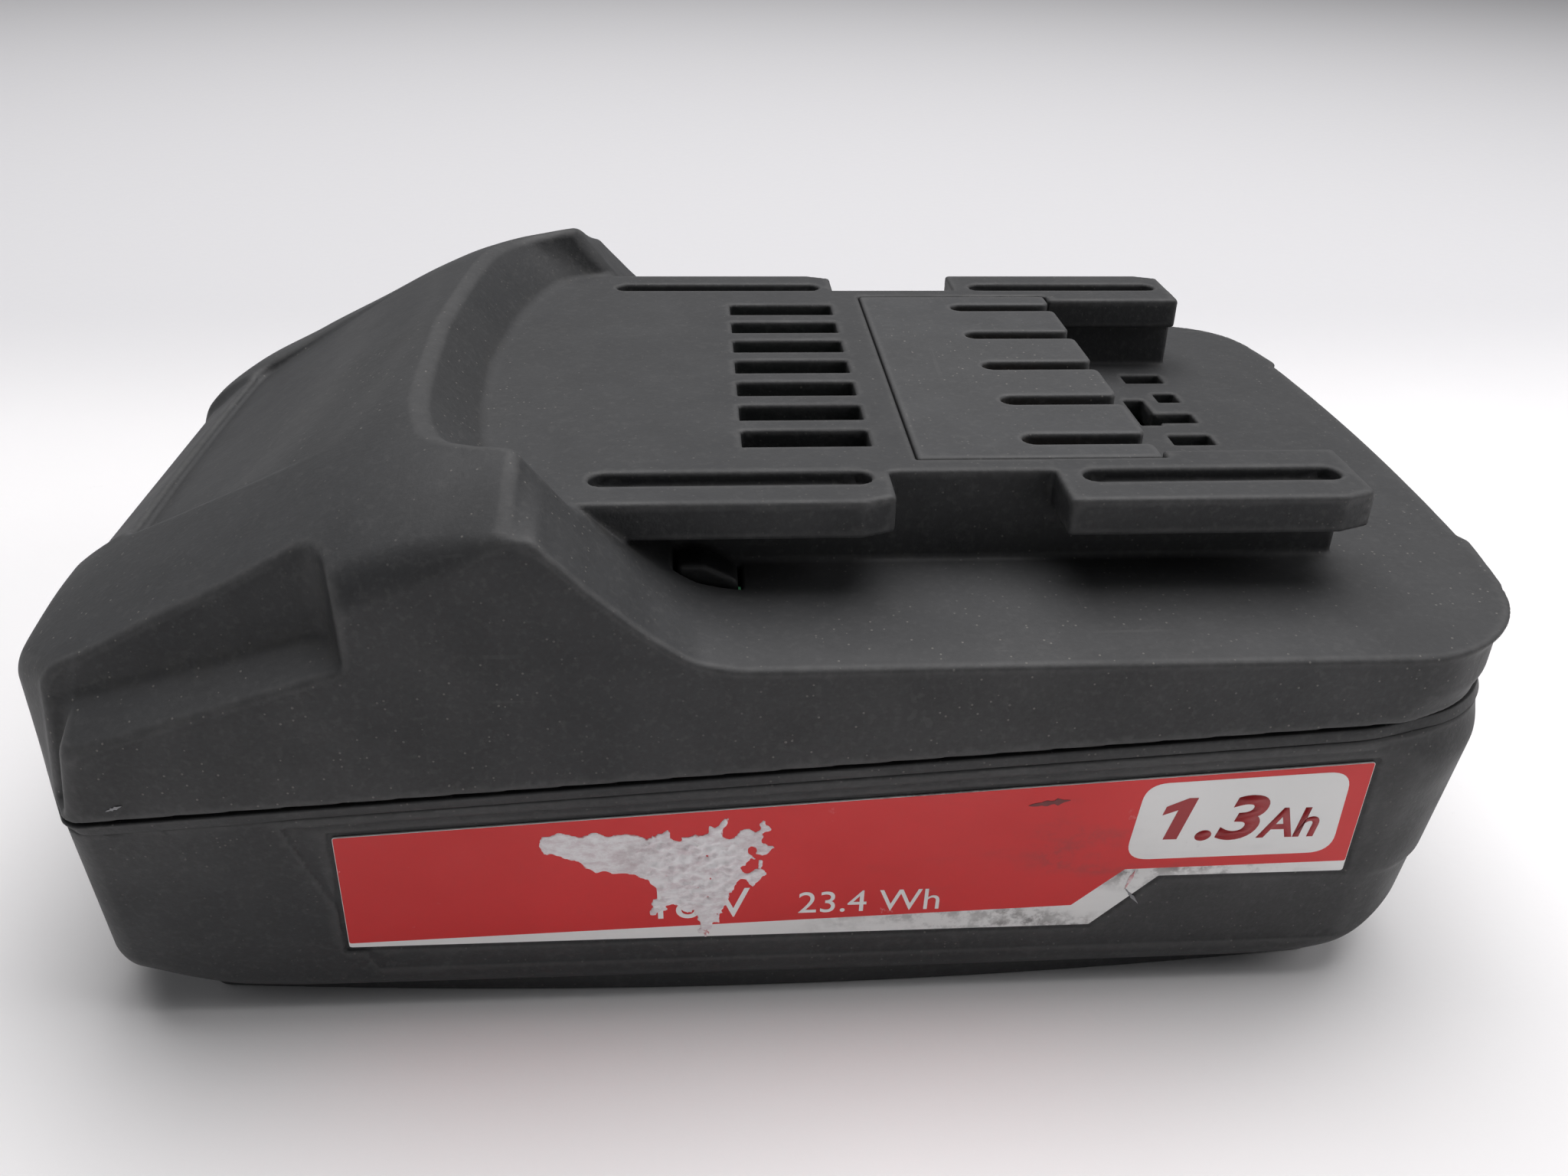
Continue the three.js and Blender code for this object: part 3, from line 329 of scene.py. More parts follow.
def lower_shell(x, y, z):
    s = np.abs(y)
    belly = (BELLY(x) - z) / np.sqrt(1 + BELLY.rise(x) ** 2)
    body = both(lower_outline(x, s, z, lip_inset(x, z)), belly, 2.0 - 1.1 * ease(x, 46, 52))
    panel = meet(slab(x, -38.6 + 0.3 * (22 - z), 54), side_wall(z) - 0.2 - s)
    body = cut(body, meet(panel, 5 - z, z - parting(x) + 2.2), 0.1)
    foot = both(slab(x, -49 - z * 0.3, 49.4 + z * 0.3), s - 35.2 + 0.0009 * x * x - z * 0.05, 1.5)
    foot = both(foot, slab(z, 0, 3.9), 0.35)
    body = either(body, foot, 0.3)
    recess = meet(label_area(x, z) - LABEL_MARGIN, side_wall(z) - LABEL_RECESS - s)
    body = cut(body, recess, 0.15)
    room = both(lower_outline(x, s, z, WALL), BELLY(x) + 1.3 - z, 1.0)
    body = meet(body, -room)
    for cx, cy in COLUMNS:
        axis = np.hypot(x - cx, s - cy)
        column = meet(axis - COLUMN_RADIUS, lower_outline(x, s, z, 0.3), belly)
        body = join(body, column)
        bore = join(meet(axis - HEAD_BORE, z - parting(cx) + 12), axis - SHANK_BORE)
        body = cut(body, bore, 0.25)
    return both(body, z - parting(x) + RIM, 0.05 + 0.2 * ease(x, -41, -37))


def insert(x, y, z):
    """The terminal block: five slots that open at the rear, over rooms for the contacts."""
    s = np.abs(y)
    across = row(y, SLOT_PITCH, 5)
    slot = np.where(x < SLOT_END, np.hypot(x - SLOT_END, across), np.abs(across)) - SLOT_HALF
    outline = both(both(slab(x, 11.55, 31.9), s - 21.35, 0.25), -slot, 0.7)
    solid = both(outline, z - BLOCK_TOP, 0.3)
    under = both(both(slab(x, 11.7, 31.9), s - 21.3, 0.3), z - 37, 0.2)
    body = join(solid, under)
    flange = block(x, s, z, (9.2, 34.4), (-1, 21.3), (20, 29.3), 0.2)
    body = either(body, flange, 0.3)
    rooms = meet(slab(x, 21, 30.2), np.abs(across) - 1.8, z - BLOCK_TOP + 1.6)
    return meet(cut(body, rooms, 0.1), 27.3 - z)


def latch(x, y, z):
    """Thumb button, cross plate, two arms and two ramped catches, as one moulding."""
    s = np.abs(y)
    upright = block(x, s, z, (-56, -55), (-1, 15.5), (23, 32.4), 0.25)
    bar = block(x, s, z, (-56, -55), (-1, ARM_S[1]), (29.2, 32.4), 0.25)
    shelf = block(x, s, z, (-56, -49.6), (7.4, 12.6), (23, 24.4), 0.25)
    taper = (x + 60) * 0.13
    ribs = 0.16 * np.cos((z - sum(BUTTON_Z) / 2) * math.tau) * ease(-x, 59.4, 60.0) * ease(12.2 - s, 0, 0.5)
    face = both(slab(x, -60.2, -55.5) + ribs, s - 12.4 - taper, 0.6)
    button = both(face, slab(z, BUTTON_Z[0] - taper, BUTTON_Z[1] + taper), 0.5)
    rise = 1.4 * ease(x, -52, -48)
    arm = both(slab(s, *ARM_S), both(slab(x, -56, -2.4), slab(z, 29.2 + rise, 32.4 + rise * 0.86), 0.3), 0.3)
    ramp = (z - 38.2 + np.maximum(x + 6, 0) * 0.54) * 0.88
    catch = both(slab(s, *ARM_S), both(slab(x, -8, -3.2), meet(ramp, 32 - z), 0.4), 0.3)
    body = either(join(upright, bar), button, 0.3)
    return join(either(body, shelf, 0.4), either(bar, arm, 0.5), either(arm, catch, 0.4))


# ---- Meshes ----


def net(field, low, high, step):
    """A closed quad mesh of field's surface in a box. Blocks of nodes far from it aren't worked out."""
    span = 4
    low = np.asarray(low, float) - 1.5 * step
    blocks = np.ceil(((np.asarray(high, float) - low) / step + 2.5) / span).astype(int)
    size = blocks * span
    middle = (span - 1) / 2
    centres = np.meshgrid(*[low[a] + (np.arange(blocks[a]) * span + middle) * step for a in range(3)],
                          indexing="ij")
    coarse = field(*[c.ravel() for c in centres]).reshape(blocks)
    value = np.empty(size, np.float32)
    grid = value.reshape(blocks[0], span, blocks[1], span, blocks[2], span)
    grid[:] = coarse[:, None, :, None, :, None]
    near = np.argwhere(np.abs(coarse) < 1.2 * span * step)
    for part in np.array_split(near, max(1, len(near) // 4000)):
        axes = [low[a] + (part[:, a, None] * span + np.arange(span)) * step for a in range(3)]
        places = np.broadcast_arrays(axes[0][:, :, None, None], axes[1][:, None, :, None],
                                     axes[2][:, None, None, :])
        found = field(*[place.ravel() for place in places]).reshape(places[0].shape)
        grid[part[:, 0], :, part[:, 1], :, part[:, 2], :] = found
    inside = value < 0
    cells = size - 1
    corners = list(np.ndindex(2, 2, 2))
    filled = np.zeros(cells, np.uint8)
    for i, j, k in corners:
        filled += inside[i:i + cells[0], j:j + cells[1], k:k + cells[2]]
    at = np.argwhere((filled > 0) & (filled < 8))
    number = np.full(cells, -1, np.int32)
    number[tuple(at.T)] = np.arange(len(at))
    values = [value[tuple((at + c).T)].astype(float) for c in corners]
    total, hits = np.zeros((len(at), 3)), np.zeros(len(at))
    for a in range(8):
        for b in range(a + 1, 8):
            way = np.subtract(corners[b], corners[a])
            if np.abs(way).sum() != 1:
                continue
            crossed = (values[a] < 0) != (values[b] < 0)
            t = np.where(crossed, values[a] / np.where(crossed, values[a] - values[b], 1), 0)
            total += (np.array(corners[a]) + t[:, None] * way) * crossed[:, None]
            hits += crossed
    points = low + (at + total / hits[:, None]) * step
    faces = []
    for axis in range(3):
        u, v = np.roll(np.eye(3, dtype=int), -axis - 1, 0)[:2]
        node = np.argwhere(np.diff(inside, axis=axis))
        ring = [number[tuple((node - d).T)] for d in (u + v, v, 0 * u, u)]
        quad = np.stack(ring, 1)
        solid_first = inside[tuple(node.T)]
        quad[~solid_first] = quad[~solid_first][:, ::-1]
        faces.append(quad)
    return points, np.concatenate(faces)


def settle(field, points, faces):
    """Evens the mesh out and puts its points exactly on the surface."""
    pairs = np.concatenate([np.roll(faces, -1, 1).ravel()[:, None], faces.ravel()[:, None]], 1)
    number = np.bincount(pairs[:, 0], minlength=len(points))
    reach = 0.04
    for _ in range(2):
        beside = points[pairs[:, 1]]
        middle = np.stack([np.bincount(pairs[:, 0], beside[:, a], len(points)) for a in range(3)], 1)
        points = points * 0.55 + 0.45 * middle / number[:, None]
        value = field(*points.T)
        way = np.stack([(field(*(points + reach * e).T) - value) / reach for e in np.eye(3)], 1)
        size = np.maximum((way ** 2).sum(1), 0.3)
        points = points - np.clip(way * (value / size)[:, None], -0.2, 0.2)
    return points


def bend_of(field, points, reach):
    """How strongly the surface bends over a distance: above 0 on outer edges, below 0 in corners."""
    middle = field(*points.T)
    total = sum(field(*(points + reach * e).T) + field(*(points - reach * e).T) for e in np.eye(3))
    return (total - 6 * middle) / reach


def mesh_from(name, points, faces):
    mesh = bpy.data.meshes.new(name)
    mesh.vertices.add(len(points))
    mesh.vertices.foreach_set("co", (np.asarray(points) * MM).astype(np.float32).ravel())
    mesh.loops.add(faces.size)
    mesh.loops.foreach_set("vertex_index", faces.ravel().astype(np.int32))
    mesh.polygons.add(len(faces))
    mesh.polygons.foreach_set("loop_start", np.arange(len(faces), dtype=np.int32) * faces.shape[1])
    mesh.update(calc_edges=True)
    mesh.validate()
    return mesh


def write(made, mesh):
    """Puts a bmesh into a mesh, with its faces turned outwards."""
    bmesh.ops.recalc_face_normals(made, faces=made.faces)
    made.to_mesh(mesh)
    made.free()


def store(mesh, title, amount):
    """Keeps a number at every point, for the materials."""
    mesh.attributes.new(title, "FLOAT", "POINT").data.foreach_set("value", amount.astype(np.float32))


def put(name, data):
    """A new object in the scene."""
    thing = bpy.data.objects.new(name, data)
    bpy.context.scene.collection.objects.link(thing)
    return thing


def show(name, mesh, material, body, replaced=()):
    """A visible piece that rides on a body."""
    piece = put(name, mesh)
    piece.data.materials.append(material)
    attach(piece, body)
    if replaced:
        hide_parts(*replaced)
    return piece


def applied(piece):
    """The piece's mesh with its modifiers worked in."""
    graph = bpy.context.evaluated_depsgraph_get()
    mesh = bpy.data.meshes.new_from_object(piece.evaluated_get(graph), preserve_all_data_layers=True,
                                           depsgraph=graph)
    piece.modifiers.clear()
    piece.data = mesh
    return mesh


def soften(piece):
    """Smooth shading that leaves flat faces flat."""
    piece.data.shade_smooth()
    piece.modifiers.new("normals", "WEIGHTED_NORMAL").weight = 50
    applied(piece)


def moulded(name, field, node, step, keep, material, body="pack"):
    """A piece moulded from a field, in a CAD node's place, with an edge mask and grime stored on its points.
    The edge mask drives rubbed edges together with a painted highlight along them.
    """
    low, high = [np.array(v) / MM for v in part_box(node)]
    points, faces = net(field, low - 0.6, high + 0.6, step)
    points = settle(field, points, faces)
    piece = show(name, mesh_from(name, points, faces), material, body, [node])
    piece.modifiers.new("thin", "DECIMATE").ratio = keep
    mesh = applied(piece)
    place = np.empty(len(mesh.vertices) * 3, np.float32)
    mesh.vertices.foreach_get("co", place)
    place = place.reshape(-1, 3).astype(float) / MM
    near, wide = bend_of(field, place, 0.45), bend_of(field, place, 1.6)
    # Outer edges: mask for rubbed edges and for a painted highlight along them.
    store(mesh, "wear_and_highlight", np.clip(near * 1.1 + wide * 0.25, 0, 1))
    store(mesh, "grime", np.clip(-wide * 0.8, 0, 1))
    soften(piece)


def lofted(name, rings, capped=True):
    """A mesh through rings of equally many points, capped at its two ends or else joined end to end."""
    count, total = len(rings[0]), len(rings) * len(rings[0])
    faces = [(k + i, k + (i + 1) % count, (k + count) % total + (i + 1) % count, (k + count) % total + i)
             for k in range(0, total - count * capped, count) for i in range(count)]
    if capped:
        faces += [tuple(range(count))[::-1], tuple(range(total - count, total))]
    mesh = bpy.data.meshes.new(name)
    mesh.from_pydata((np.concatenate(rings) * MM).tolist(), [], faces)
    made = bmesh.new()
    made.from_mesh(mesh)
    write(made, mesh)
    return mesh


def plate(name, outline, out_from, out_to, side, material):
    """A flat film on a side wall: its outline is [x, z] points, between two distances outside the wall."""
    rings = [[(x, side * (side_wall(z) + out), z) for x, z in outline] for out in (out_from, out_to)]
    return show(name, lofted(name, rings), material, "pack")


def rounded(outline, radius, steps=6):
    """An outline with its corners rounded."""
    made = []
    for i, here in enumerate(outline):
        here = Vector(here)
        before, after = Vector(outline[i - 1]), Vector(outline[(i + 1) % len(outline)])
        a, b = (before - here).normalized(), (after - here).normalized()
        half = a.angle(b) / 2
        shorter = min((before - here).length, (after - here).length)
        reach = min(radius / math.tan(half), shorter / 2.05)
        start, end = here + a * reach, here + b * reach
        for k in range(steps + 1):
            t = k / steps
            made.append(tuple(start * (1 - t) ** 2 + here * 2 * t * (1 - t) + end * t * t))
    return made


# ---- Materials ----


class Shade:
    """Builds one material's nodes. Texture coordinates are the object's own, in metres."""

    def __init__(self, name, **settings):
        self.material = bpy.data.materials.new(name)
        self.material.use_nodes = True
        self.tree = self.material.node_tree
        self.bsdf = self.tree.nodes["Principled BSDF"]
        self.place = self.add("TexCoord", output="Object")
        for key, value in settings.items():
            self.bsdf.inputs[key.replace("_", " ")].default_value = value

    def add(self, kind, inputs=None, output=0, **settings):
        node = self.tree.nodes.new("ShaderNode" + kind)
        for key, value in settings.items():
            setattr(node, key, value)
        for key, value in (inputs or {}).items():
            self.plug(node.inputs[key], value)
        return node.outputs[output]

    def plug(self, socket, value):
        if isinstance(value, bpy.types.NodeSocket):
            self.tree.links.new(value, socket)
        else:
            socket.default_value = value

    def noise(self, scale, detail=3.0, roughness=0.55, stretch=None, turn=(0, 0, 0)):
        place = self.place
        if stretch:
            place = self.add("Mapping", {"Vector": place, "Scale": stretch, "Rotation": turn})
        return self.add("TexNoise", {"Vector": place, "Scale": scale, "Detail": detail,
                                     "Roughness": roughness})

    def between(self, value, low, high, to_low=0.0, to_high=1.0):
        return self.add("MapRange", {"Value": value, "From Min": low, "From Max": high, "To Min": to_low,
                                     "To Max": to_high}, interpolation_type="SMOOTHSTEP")

    def calc(self, operation, a, b=0.0):
        return self.add("Math", {0: a, 1: b}, operation=operation, use_clamp=operation == "ADD")

    def times(self, a, b):
        return self.calc("MULTIPLY", a, b)

    def most(self, a, b):
        return self.calc("MAXIMUM", a, b)

    def mix(self, factor, a, b):
        return self.add("Mix", {0: factor, 6: a, 7: b}, output=2, data_type="RGBA")

    def specks(self, scale, size, share):
        """Tiny round spots; share is how many of the cells hold one."""
        cells = {"Vector": self.place, "Scale": scale}
        near = self.between(self.add("TexVoronoi", cells, "Distance"), size, size * 0.55)
        chosen = self.add("SeparateColor", {"Color": self.add("TexVoronoi", cells, "Color")})
        return self.times(near, self.calc("LESS_THAN", chosen, share))

    def attribute(self, name):
        return self.add("Attribute", attribute_name=name, output="Fac")

    def bump(self, height, distance, strength, normal=None):
        inputs = {"Height": height, "Distance": distance, "Strength": strength}
        if normal is not None:
            inputs["Normal"] = normal
        return self.add("Bump", inputs, output="Normal")

    def finish(self, colour, rough, normal):
        for key, value in (("Base Color", colour), ("Roughness", rough), ("Normal", normal)):
            self.plug(self.bsdf.inputs[key], value)
        return self.material


def grey(level, warm=0.0):
    """A near-neutral colour; warm moves it from bluish (below 0) to brownish (above 0)."""
    return (level * (1 + warm), level * (1 + warm * 0.25), level * (1 - warm), 1)


def moulded_plastic(name, level, dust=1.0, wear_and_highlight=1.0, roughness=0.56):
    """Dark, slightly scuffed and dusty moulded plastic with a fine eroded grain, and outer edges lightened
    partly by rubbing and partly as a painted highlight.
    """
    s = Shade(name, Specular_IOR_Level=0.42)
    wide = s.noise(28, 4)
    # The slight blue in these base colours is a painted tint standing in for bluish light from the
    # surroundings.
    colour = s.mix(s.between(wide, 0.35, 0.7), grey(level * 0.92, -0.06), grey(level * 1.1, -0.02))
    pits = s.between(s.noise(2300, 2, 0.6), 0.36, 0.64, 0.0, 0.45)
    colour = s.mix(pits, colour, grey(level * 0.62, -0.02))
    peaks = s.between(s.noise(1500, 3, 0.6), 0.5, 0.72, 0.0, 0.5)
    colour = s.mix(peaks, colour, grey(level * 1.9))
    upward = s.add("SeparateXYZ", {"Vector": s.add("NewGeometry", output="Normal")}, output="Z")
    flat = s.between(upward, 0.3, 0.9)
    patchy = s.between(s.noise(140, 6, 0.7), 0.3, 0.75, 0.45, 0.8)
    film = s.times(patchy, s.times(flat, 0.6 * dust))
    colour = s.mix(film, colour, grey(level * 2.4, -0.03))
    packed = s.between(s.noise(700, 4), 0.4, 0.65, 0.05, 0.3 * dust)
    grime = s.times(s.attribute("grime"), packed)
    colour = s.mix(grime, colour, grey(level * 2.0, 0.08))
    # Outer edges are lightened: partly rubbed plastic, partly a painted highlight standing in for light
    # catching the edges.
    worn_and_lit = s.between(s.noise(900, 4, 0.7), 0.4, 0.66, 0.26, 0.5 * wear_and_highlight)
    edge = s.times(s.between(s.attribute("wear_and_highlight"), 0.26, 0.95), worn_and_lit)
    colour = s.mix(edge, colour, grey(level * 3))
    dusty = s.between(s.noise(55, 3), 0.4, 0.62, 0.05, 0.6 * dust)
    dots = s.times(s.specks(900, 0.12, 0.08), dusty)
    dusty = s.between(s.noise(30, 3), 0.4, 0.6, 0.2, 0.6 * dust)
    finer = s.times(s.specks(2100, 0.24, 0.16), dusty)
    spots = s.most(dots, finer)
    colour = s.mix(spots, colour, grey(level * 7, 0.06))
    lines = s.between(s.noise(10, 2, 0.5, (1.2, 60, 60), (0, 0, 0.12)), 0.67, 0.68, 0.0, 0.4)
    cross = s.between(s.noise(12, 2, 0.5, (55, 1.5, 40), (0, 0, -0.3)), 0.68, 0.69, 0.0, 0.3)
    scratch = s.times(s.most(lines, cross), s.between(s.noise(60, 3), 0.56, 0.66))
    colour = s.mix(s.times(scratch, wear_and_highlight), colour, grey(level * 2.6))
    rough = s.between(s.noise(150, 4), 0.3, 0.7, roughness - 0.06, roughness + 0.08)
    rough = s.calc("ADD", rough, s.times(s.most(film, spots), 0.3))
    normal = s.bump(s.noise(2600, 2, 0.6), 0.00005, 0.55)
    normal = s.bump(s.calc("SUBTRACT", spots, scratch), 0.00004, 0.5, normal)
    return s.finish(colour, rough, normal)


def label_film(name, colour, dark, rubbed, roughness=0.36, dirt=0.5, smeared=0.6):
    """Printed film: slightly uneven ink, rubbed spots, dark smears and an orange-peel gloss."""
    s = Shade(name, Specular_IOR_Level=0.5)
    base = s.mix(s.between(s.noise(45, 4), 0.35, 0.7), colour, dark)
    print_dots = s.between(s.noise(1700, 2), 0.3, 0.75, 0.0, 0.16)
    base = s.mix(print_dots, base, dark)
    rub = s.times(s.between(s.noise(420, 5, 0.7), 0.66, 0.74), s.between(s.noise(40, 3), 0.5, 0.7))
    base = s.mix(rub, base, rubbed)
    smear = s.between(s.noise(34, 5, 0.6, (0.55, 1, 1.7)), smeared, smeared + 0.16)
    smear = s.times(smear, s.between(s.noise(520, 4, 0.7), 0.42, 0.6, 0.15, dirt))
    base = s.mix(smear, base, (0.06, 0.052, 0.05, 1))
    rough = s.between(s.noise(90, 4), 0.3, 0.7, roughness - 0.05, roughness + 0.1)
    normal = s.bump(s.noise(500, 2), 0.00003, 0.35)
    normal = s.bump(s.most(rub, smear), 0.00003, 0.4, normal)
    return s.finish(base, rough, normal)


def torn_paper(name):
    """The soft white core of the film where its print was torn off."""
    s = Shade(name, Specular_IOR_Level=0.2)
    fibres = s.noise(900, 6, 0.75, (0.6, 1, 1.3), (0, 0.5, 0))
    base = s.mix(s.between(fibres, 0.4, 0.66), (0.90, 0.88, 0.89, 1), (0.72, 0.64, 0.66, 1))
    base = s.mix(s.between(s.noise(260, 6, 0.75), 0.5, 0.75, 0.0, 0.55), base, (0.50, 0.42, 0.43, 1))
    thin = s.between(s.calc("ADD", s.attribute("deep"), s.between(fibres, 0.3, 0.7, 0.0, 0.35)), 0.36, 0.1)
    base = s.mix(thin, base, (0.60, 0.26, 0.27, 1))
    return s.finish(base, s.between(fibres, 0.3, 0.7, 0.75, 0.95), s.bump(fibres, 0.00018, 0.7))


def metal(name, colour, tarnish, roughness, scale=(6, 60, 60)):
    """Rolled or drawn metal with fine lines and some tarnish."""
    s = Shade(name, Metallic=1.0)
    lines = s.noise(240, 4, 0.6, scale)
    base = s.mix(s.between(s.noise(300, 5, 0.65), 0.45, 0.7), colour, tarnish)
    rough = s.between(lines, 0.3, 0.7, roughness - 0.08, roughness + 0.14)
    return s.finish(base, rough, s.bump(lines, 0.00003, 0.5))


def plain_surface(name, colour, dark, roughness, grain, depth, specular=0.4):
    """Uneven colour and grain for the parts inside."""
    s = Shade(name, Specular_IOR_Level=specular)
    base = s.mix(s.between(s.noise(grain * 0.12, 5, 0.6), 0.35, 0.7), colour, dark)
    fine = s.noise(grain, 3, 0.6)
    rough = s.between(fine, 0.3, 0.7, roughness - 0.06, roughness + 0.08)
    return s.finish(base, rough, s.bump(fine, depth, 0.6))


def board_laminate(name):
    """Green solder mask over copper tracks, with rows of tinned pads."""
    s = Shade(name, Specular_IOR_Level=0.5)
    wave = s.add("TexWave", {"Vector": s.place, "Scale": 260, "Distortion": 7, "Detail": 1},
                 bands_direction="DIAGONAL")
    tracks = s.between(wave, 0.5, 0.56)
    base = s.mix(tracks, (0.012, 0.085, 0.035, 1), (0.02, 0.15, 0.06, 1))
    pads = s.specks(380, 0.22, 0.4)
    base = s.mix(pads, base, (0.55, 0.55, 0.52, 1))
    weave = s.noise(1400, 2)
    height = s.most(s.times(tracks, 0.6), pads)
    s.plug(s.bsdf.inputs["Metallic"], pads)
    return s.finish(base, s.between(weave, 0.3, 0.7, 0.3, 0.45), s.bump(height, 0.00004, 0.6))


def floor_paper(name):
    """Pale paper, darker behind the pack, with a faint mottle."""
    s = Shade(name, Specular_IOR_Level=0.2)
    base = s.mix(s.between(s.noise(9, 4), 0.3, 0.7), (0.83, 0.825, 0.83, 1), (0.87, 0.865, 0.87, 1))
    rare = s.between(s.noise(22, 2), 0.56, 0.7, 0.0, 0.35)
    spots = s.times(s.between(s.noise(150, 5, 0.7), 0.66, 0.76), rare)
    base = s.mix(spots, base, (0.45, 0.43, 0.42, 1))
    behind = s.between(s.add("SeparateXYZ", {"Vector": s.place}, output="Y"), 0.06, 0.16)
    base = s.mix(behind, base, (0.66, 0.66, 0.675, 1))
    rough = s.between(s.noise(400, 3), 0.3, 0.7, 0.7, 0.9)
    return s.finish(base, rough, s.bump(s.noise(600, 4), 0.0001, 0.35))


shell_plastic = moulded_plastic("shell_plastic", 0.0268)
lower_plastic = moulded_plastic("lower_shell_plastic", 0.0255, dust=0.7, wear_and_highlight=0.8)
insert_plastic = moulded_plastic("terminal_plastic", 0.033, dust=1.1, wear_and_highlight=0.7, roughness=0.52)
# The latch's plastic is painted about half as bright as the shells', as shade, so that its catches under the
# front rails sink into the shadow there; its edges get less of the painted highlight.
latch_plastic = moulded_plastic("latch_plastic", 0.013, dust=0.3, wear_and_highlight=0.5, roughness=0.5)
red_print = label_film("label_red", (0.68, 0.012, 0.013, 1), (0.60, 0.010, 0.010, 1), (0.72, 0.45, 0.45, 1))
dark_red = label_film("label_dark_red", (0.36, 0.012, 0.016, 1), (0.30, 0.01, 0.014, 1), (0.6, 0.4, 0.4, 1),
                      0.4, 0.2)
WHITE, RUBBED_WHITE = (0.86, 0.86, 0.85, 1), (0.6, 0.59, 0.58, 1)
white_print = label_film("label_white", WHITE, (0.78, 0.78, 0.77, 1), RUBBED_WHITE, 0.4, 0.9, 0.53)
clean_print = label_film("label_clean_white", WHITE, (0.80, 0.80, 0.79, 1), RUBBED_WHITE, 0.4, 0.3, 0.58)
torn = torn_paper("label_torn")
scuffed = plain_surface("scuffed_film", (0.10, 0.03, 0.03, 1), (0.2, 0.05, 0.05, 1), 0.6, 2600, 0.00004)
pale_mark = plain_surface("pale_scratch", (0.30, 0.30, 0.31, 1), (0.17, 0.17, 0.18, 1), 0.6, 2600, 0.00004)

# ---- Moulded pieces ----

moulded("upper_shell_moulding", upper_shell, "upper_shell", STEP, 0.3, shell_plastic)
moulded("lower_shell_moulding", lower_shell, "lower_shell", STEP, 0.22, lower_plastic)
moulded("terminal_insert", insert, "terminal_block", FINE_STEP, 0.35, insert_plastic)
moulded("latch_moulding", latch, "release_latch", FINE_STEP * 1.3, 0.35, latch_plastic,
        "latch")


def plan_ring(inset, steps):
    """Points round the pack's plan, found by walking out from the middle."""
    angle = np.arange(steps) / steps * math.tau
    way = np.stack([np.cos(angle), np.sin(angle)], 1)
    low, high = np.zeros(steps), np.full(steps, 90.0)
    for _ in range(40):
        middle = (low + high) / 2
        inside = plan(middle * way[:, 0], np.abs(middle * way[:, 1]), inset) < 0
        low, high = np.where(inside, middle, low), np.where(inside, high, middle)
    return way * low[:, None]


def lip_band():
    """The band under the parting line. A fine groove sets it off from the wall, except round the nose."""
    steps = 900
    outer, inner = plan_ring(0, steps), plan_ring(WALL, steps)
    rolled = (lip_inset(outer[:, 0], 99) / WALL)[:, None]
    outer = outer * (1 - rolled) + inner * rolled
    rings = []
    for depth, down in ((0.0, 0.30), (0.03, 0.21), (0.10, 0.15), (0.21, 0.15), (WALL, 0.15),
                        (WALL, RIM + 0.03)):
        t = depth / WALL
        ring = outer * (1 - t) + inner * t
        rings.append(np.column_stack([ring, parting(ring[:, 0]) - down]))
    open_groove = ease(outer[:, 0], -41, -37)
    for depth, rise in ((0.24, -0.02), (0.13, 0.0), (0.05, 0.06), (0.0, 0.15)):
        t = (depth / WALL * open_groove)[:, None]
        ring = outer * (1 - t) + inner * t
        z = parting(ring[:, 0]) - RIM + rise * open_groove - 0.02 * (1 - open_groove)
        draft = SIDE_DRAFT * (PARTING_Z - z) / HALF_WIDTH
        rings.append(np.column_stack([ring * (1 - draft[:, None] * 0.6), z]))
    mesh = lofted("lower_shell_lip", rings, False)
    # The top three rings get a fixed 0.5 in the edge mask: a painted highlight along the lip's rounded upper
    # edge, with a little rubbing.
    store(mesh, "wear_and_highlight", np.repeat(np.where(np.arange(len(rings)) < 3, 0.5, 0), steps))
    store(mesh, "grime", np.zeros(len(rings) * steps))
    soften(show("lower_shell_lip", mesh, lower_plastic, "pack"))


lip_band()

# ---- Labels ----

FILM_OUT = -LABEL_RECESS + 0.03 + LABEL_FILM


def label_edge(x, z, inset=0.0):
    """A point on the label's leaning left or right edge, at a height."""
    if x < 0:
        return (LABEL_FROM + LABEL_LEAN * (z - 14) + inset, z)
    return (LABEL_TO - LABEL_LEAN * (z - 20) - inset, z)


LABEL_SHAPE = [label_edge(-1, LABEL_LOW), (LABEL_STEP_FROM, LABEL_LOW), (LABEL_STEP_TO, LABEL_HIGH),
               label_edge(1, LABEL_HIGH), label_edge(1, parting(LABEL_TO) - LABEL_BELOW),
               label_edge(-1, parting(LABEL_FROM) - LABEL_BELOW)]
RED_SHAPE = [label_edge(-1, LABEL_LOW + 0.5, 0.05), (LABEL_STEP_FROM - 1.9, LABEL_LOW + 2.5),
             (LABEL_STEP_TO - 3.0, LABEL_HIGH + 0.9), label_edge(1, LABEL_HIGH + 1.2, 0.05),
             label_edge(1, parting(LABEL_TO) - LABEL_BELOW - 0.05, 0.05),
             label_edge(-1, parting(LABEL_FROM) - LABEL_BELOW - 0.05, 0.05)]
PANEL_SHAPE = [(28.2, 15.3), (45.6, 15.6), (45.0, 24.7), (28.6, 23.8)]


def ripple(u, v, seed, longest, shortest, count=48):
    """Random unevenness from waves of many lengths and directions, about 1 high."""
    rng = np.random.default_rng(seed)
    total, most = 0, 0
    for length in np.geomspace(longest, shortest, count):
        way, phase = rng.uniform(0, math.tau, 2)
        high = (length / longest) ** 0.75
        total = total + high * np.sin((u * math.cos(way) + v * math.sin(way)) * math.tau / length + phase)
        most += high ** 2
    return total / math.sqrt(most / 2)


def streak(x, z, start, end, wide, narrow):
    """Distance to a strip that tapers from its start to its end."""
    along = np.subtract(end, start)
    t = np.clip(((x - start[0]) * along[0] + (z - start[1]) * along[1]) / (along ** 2).sum(), 0, 1)
    return np.hypot(x - start[0] - t * along[0], z - start[1] - t * along[1]) - wide + (wide - narrow) * t


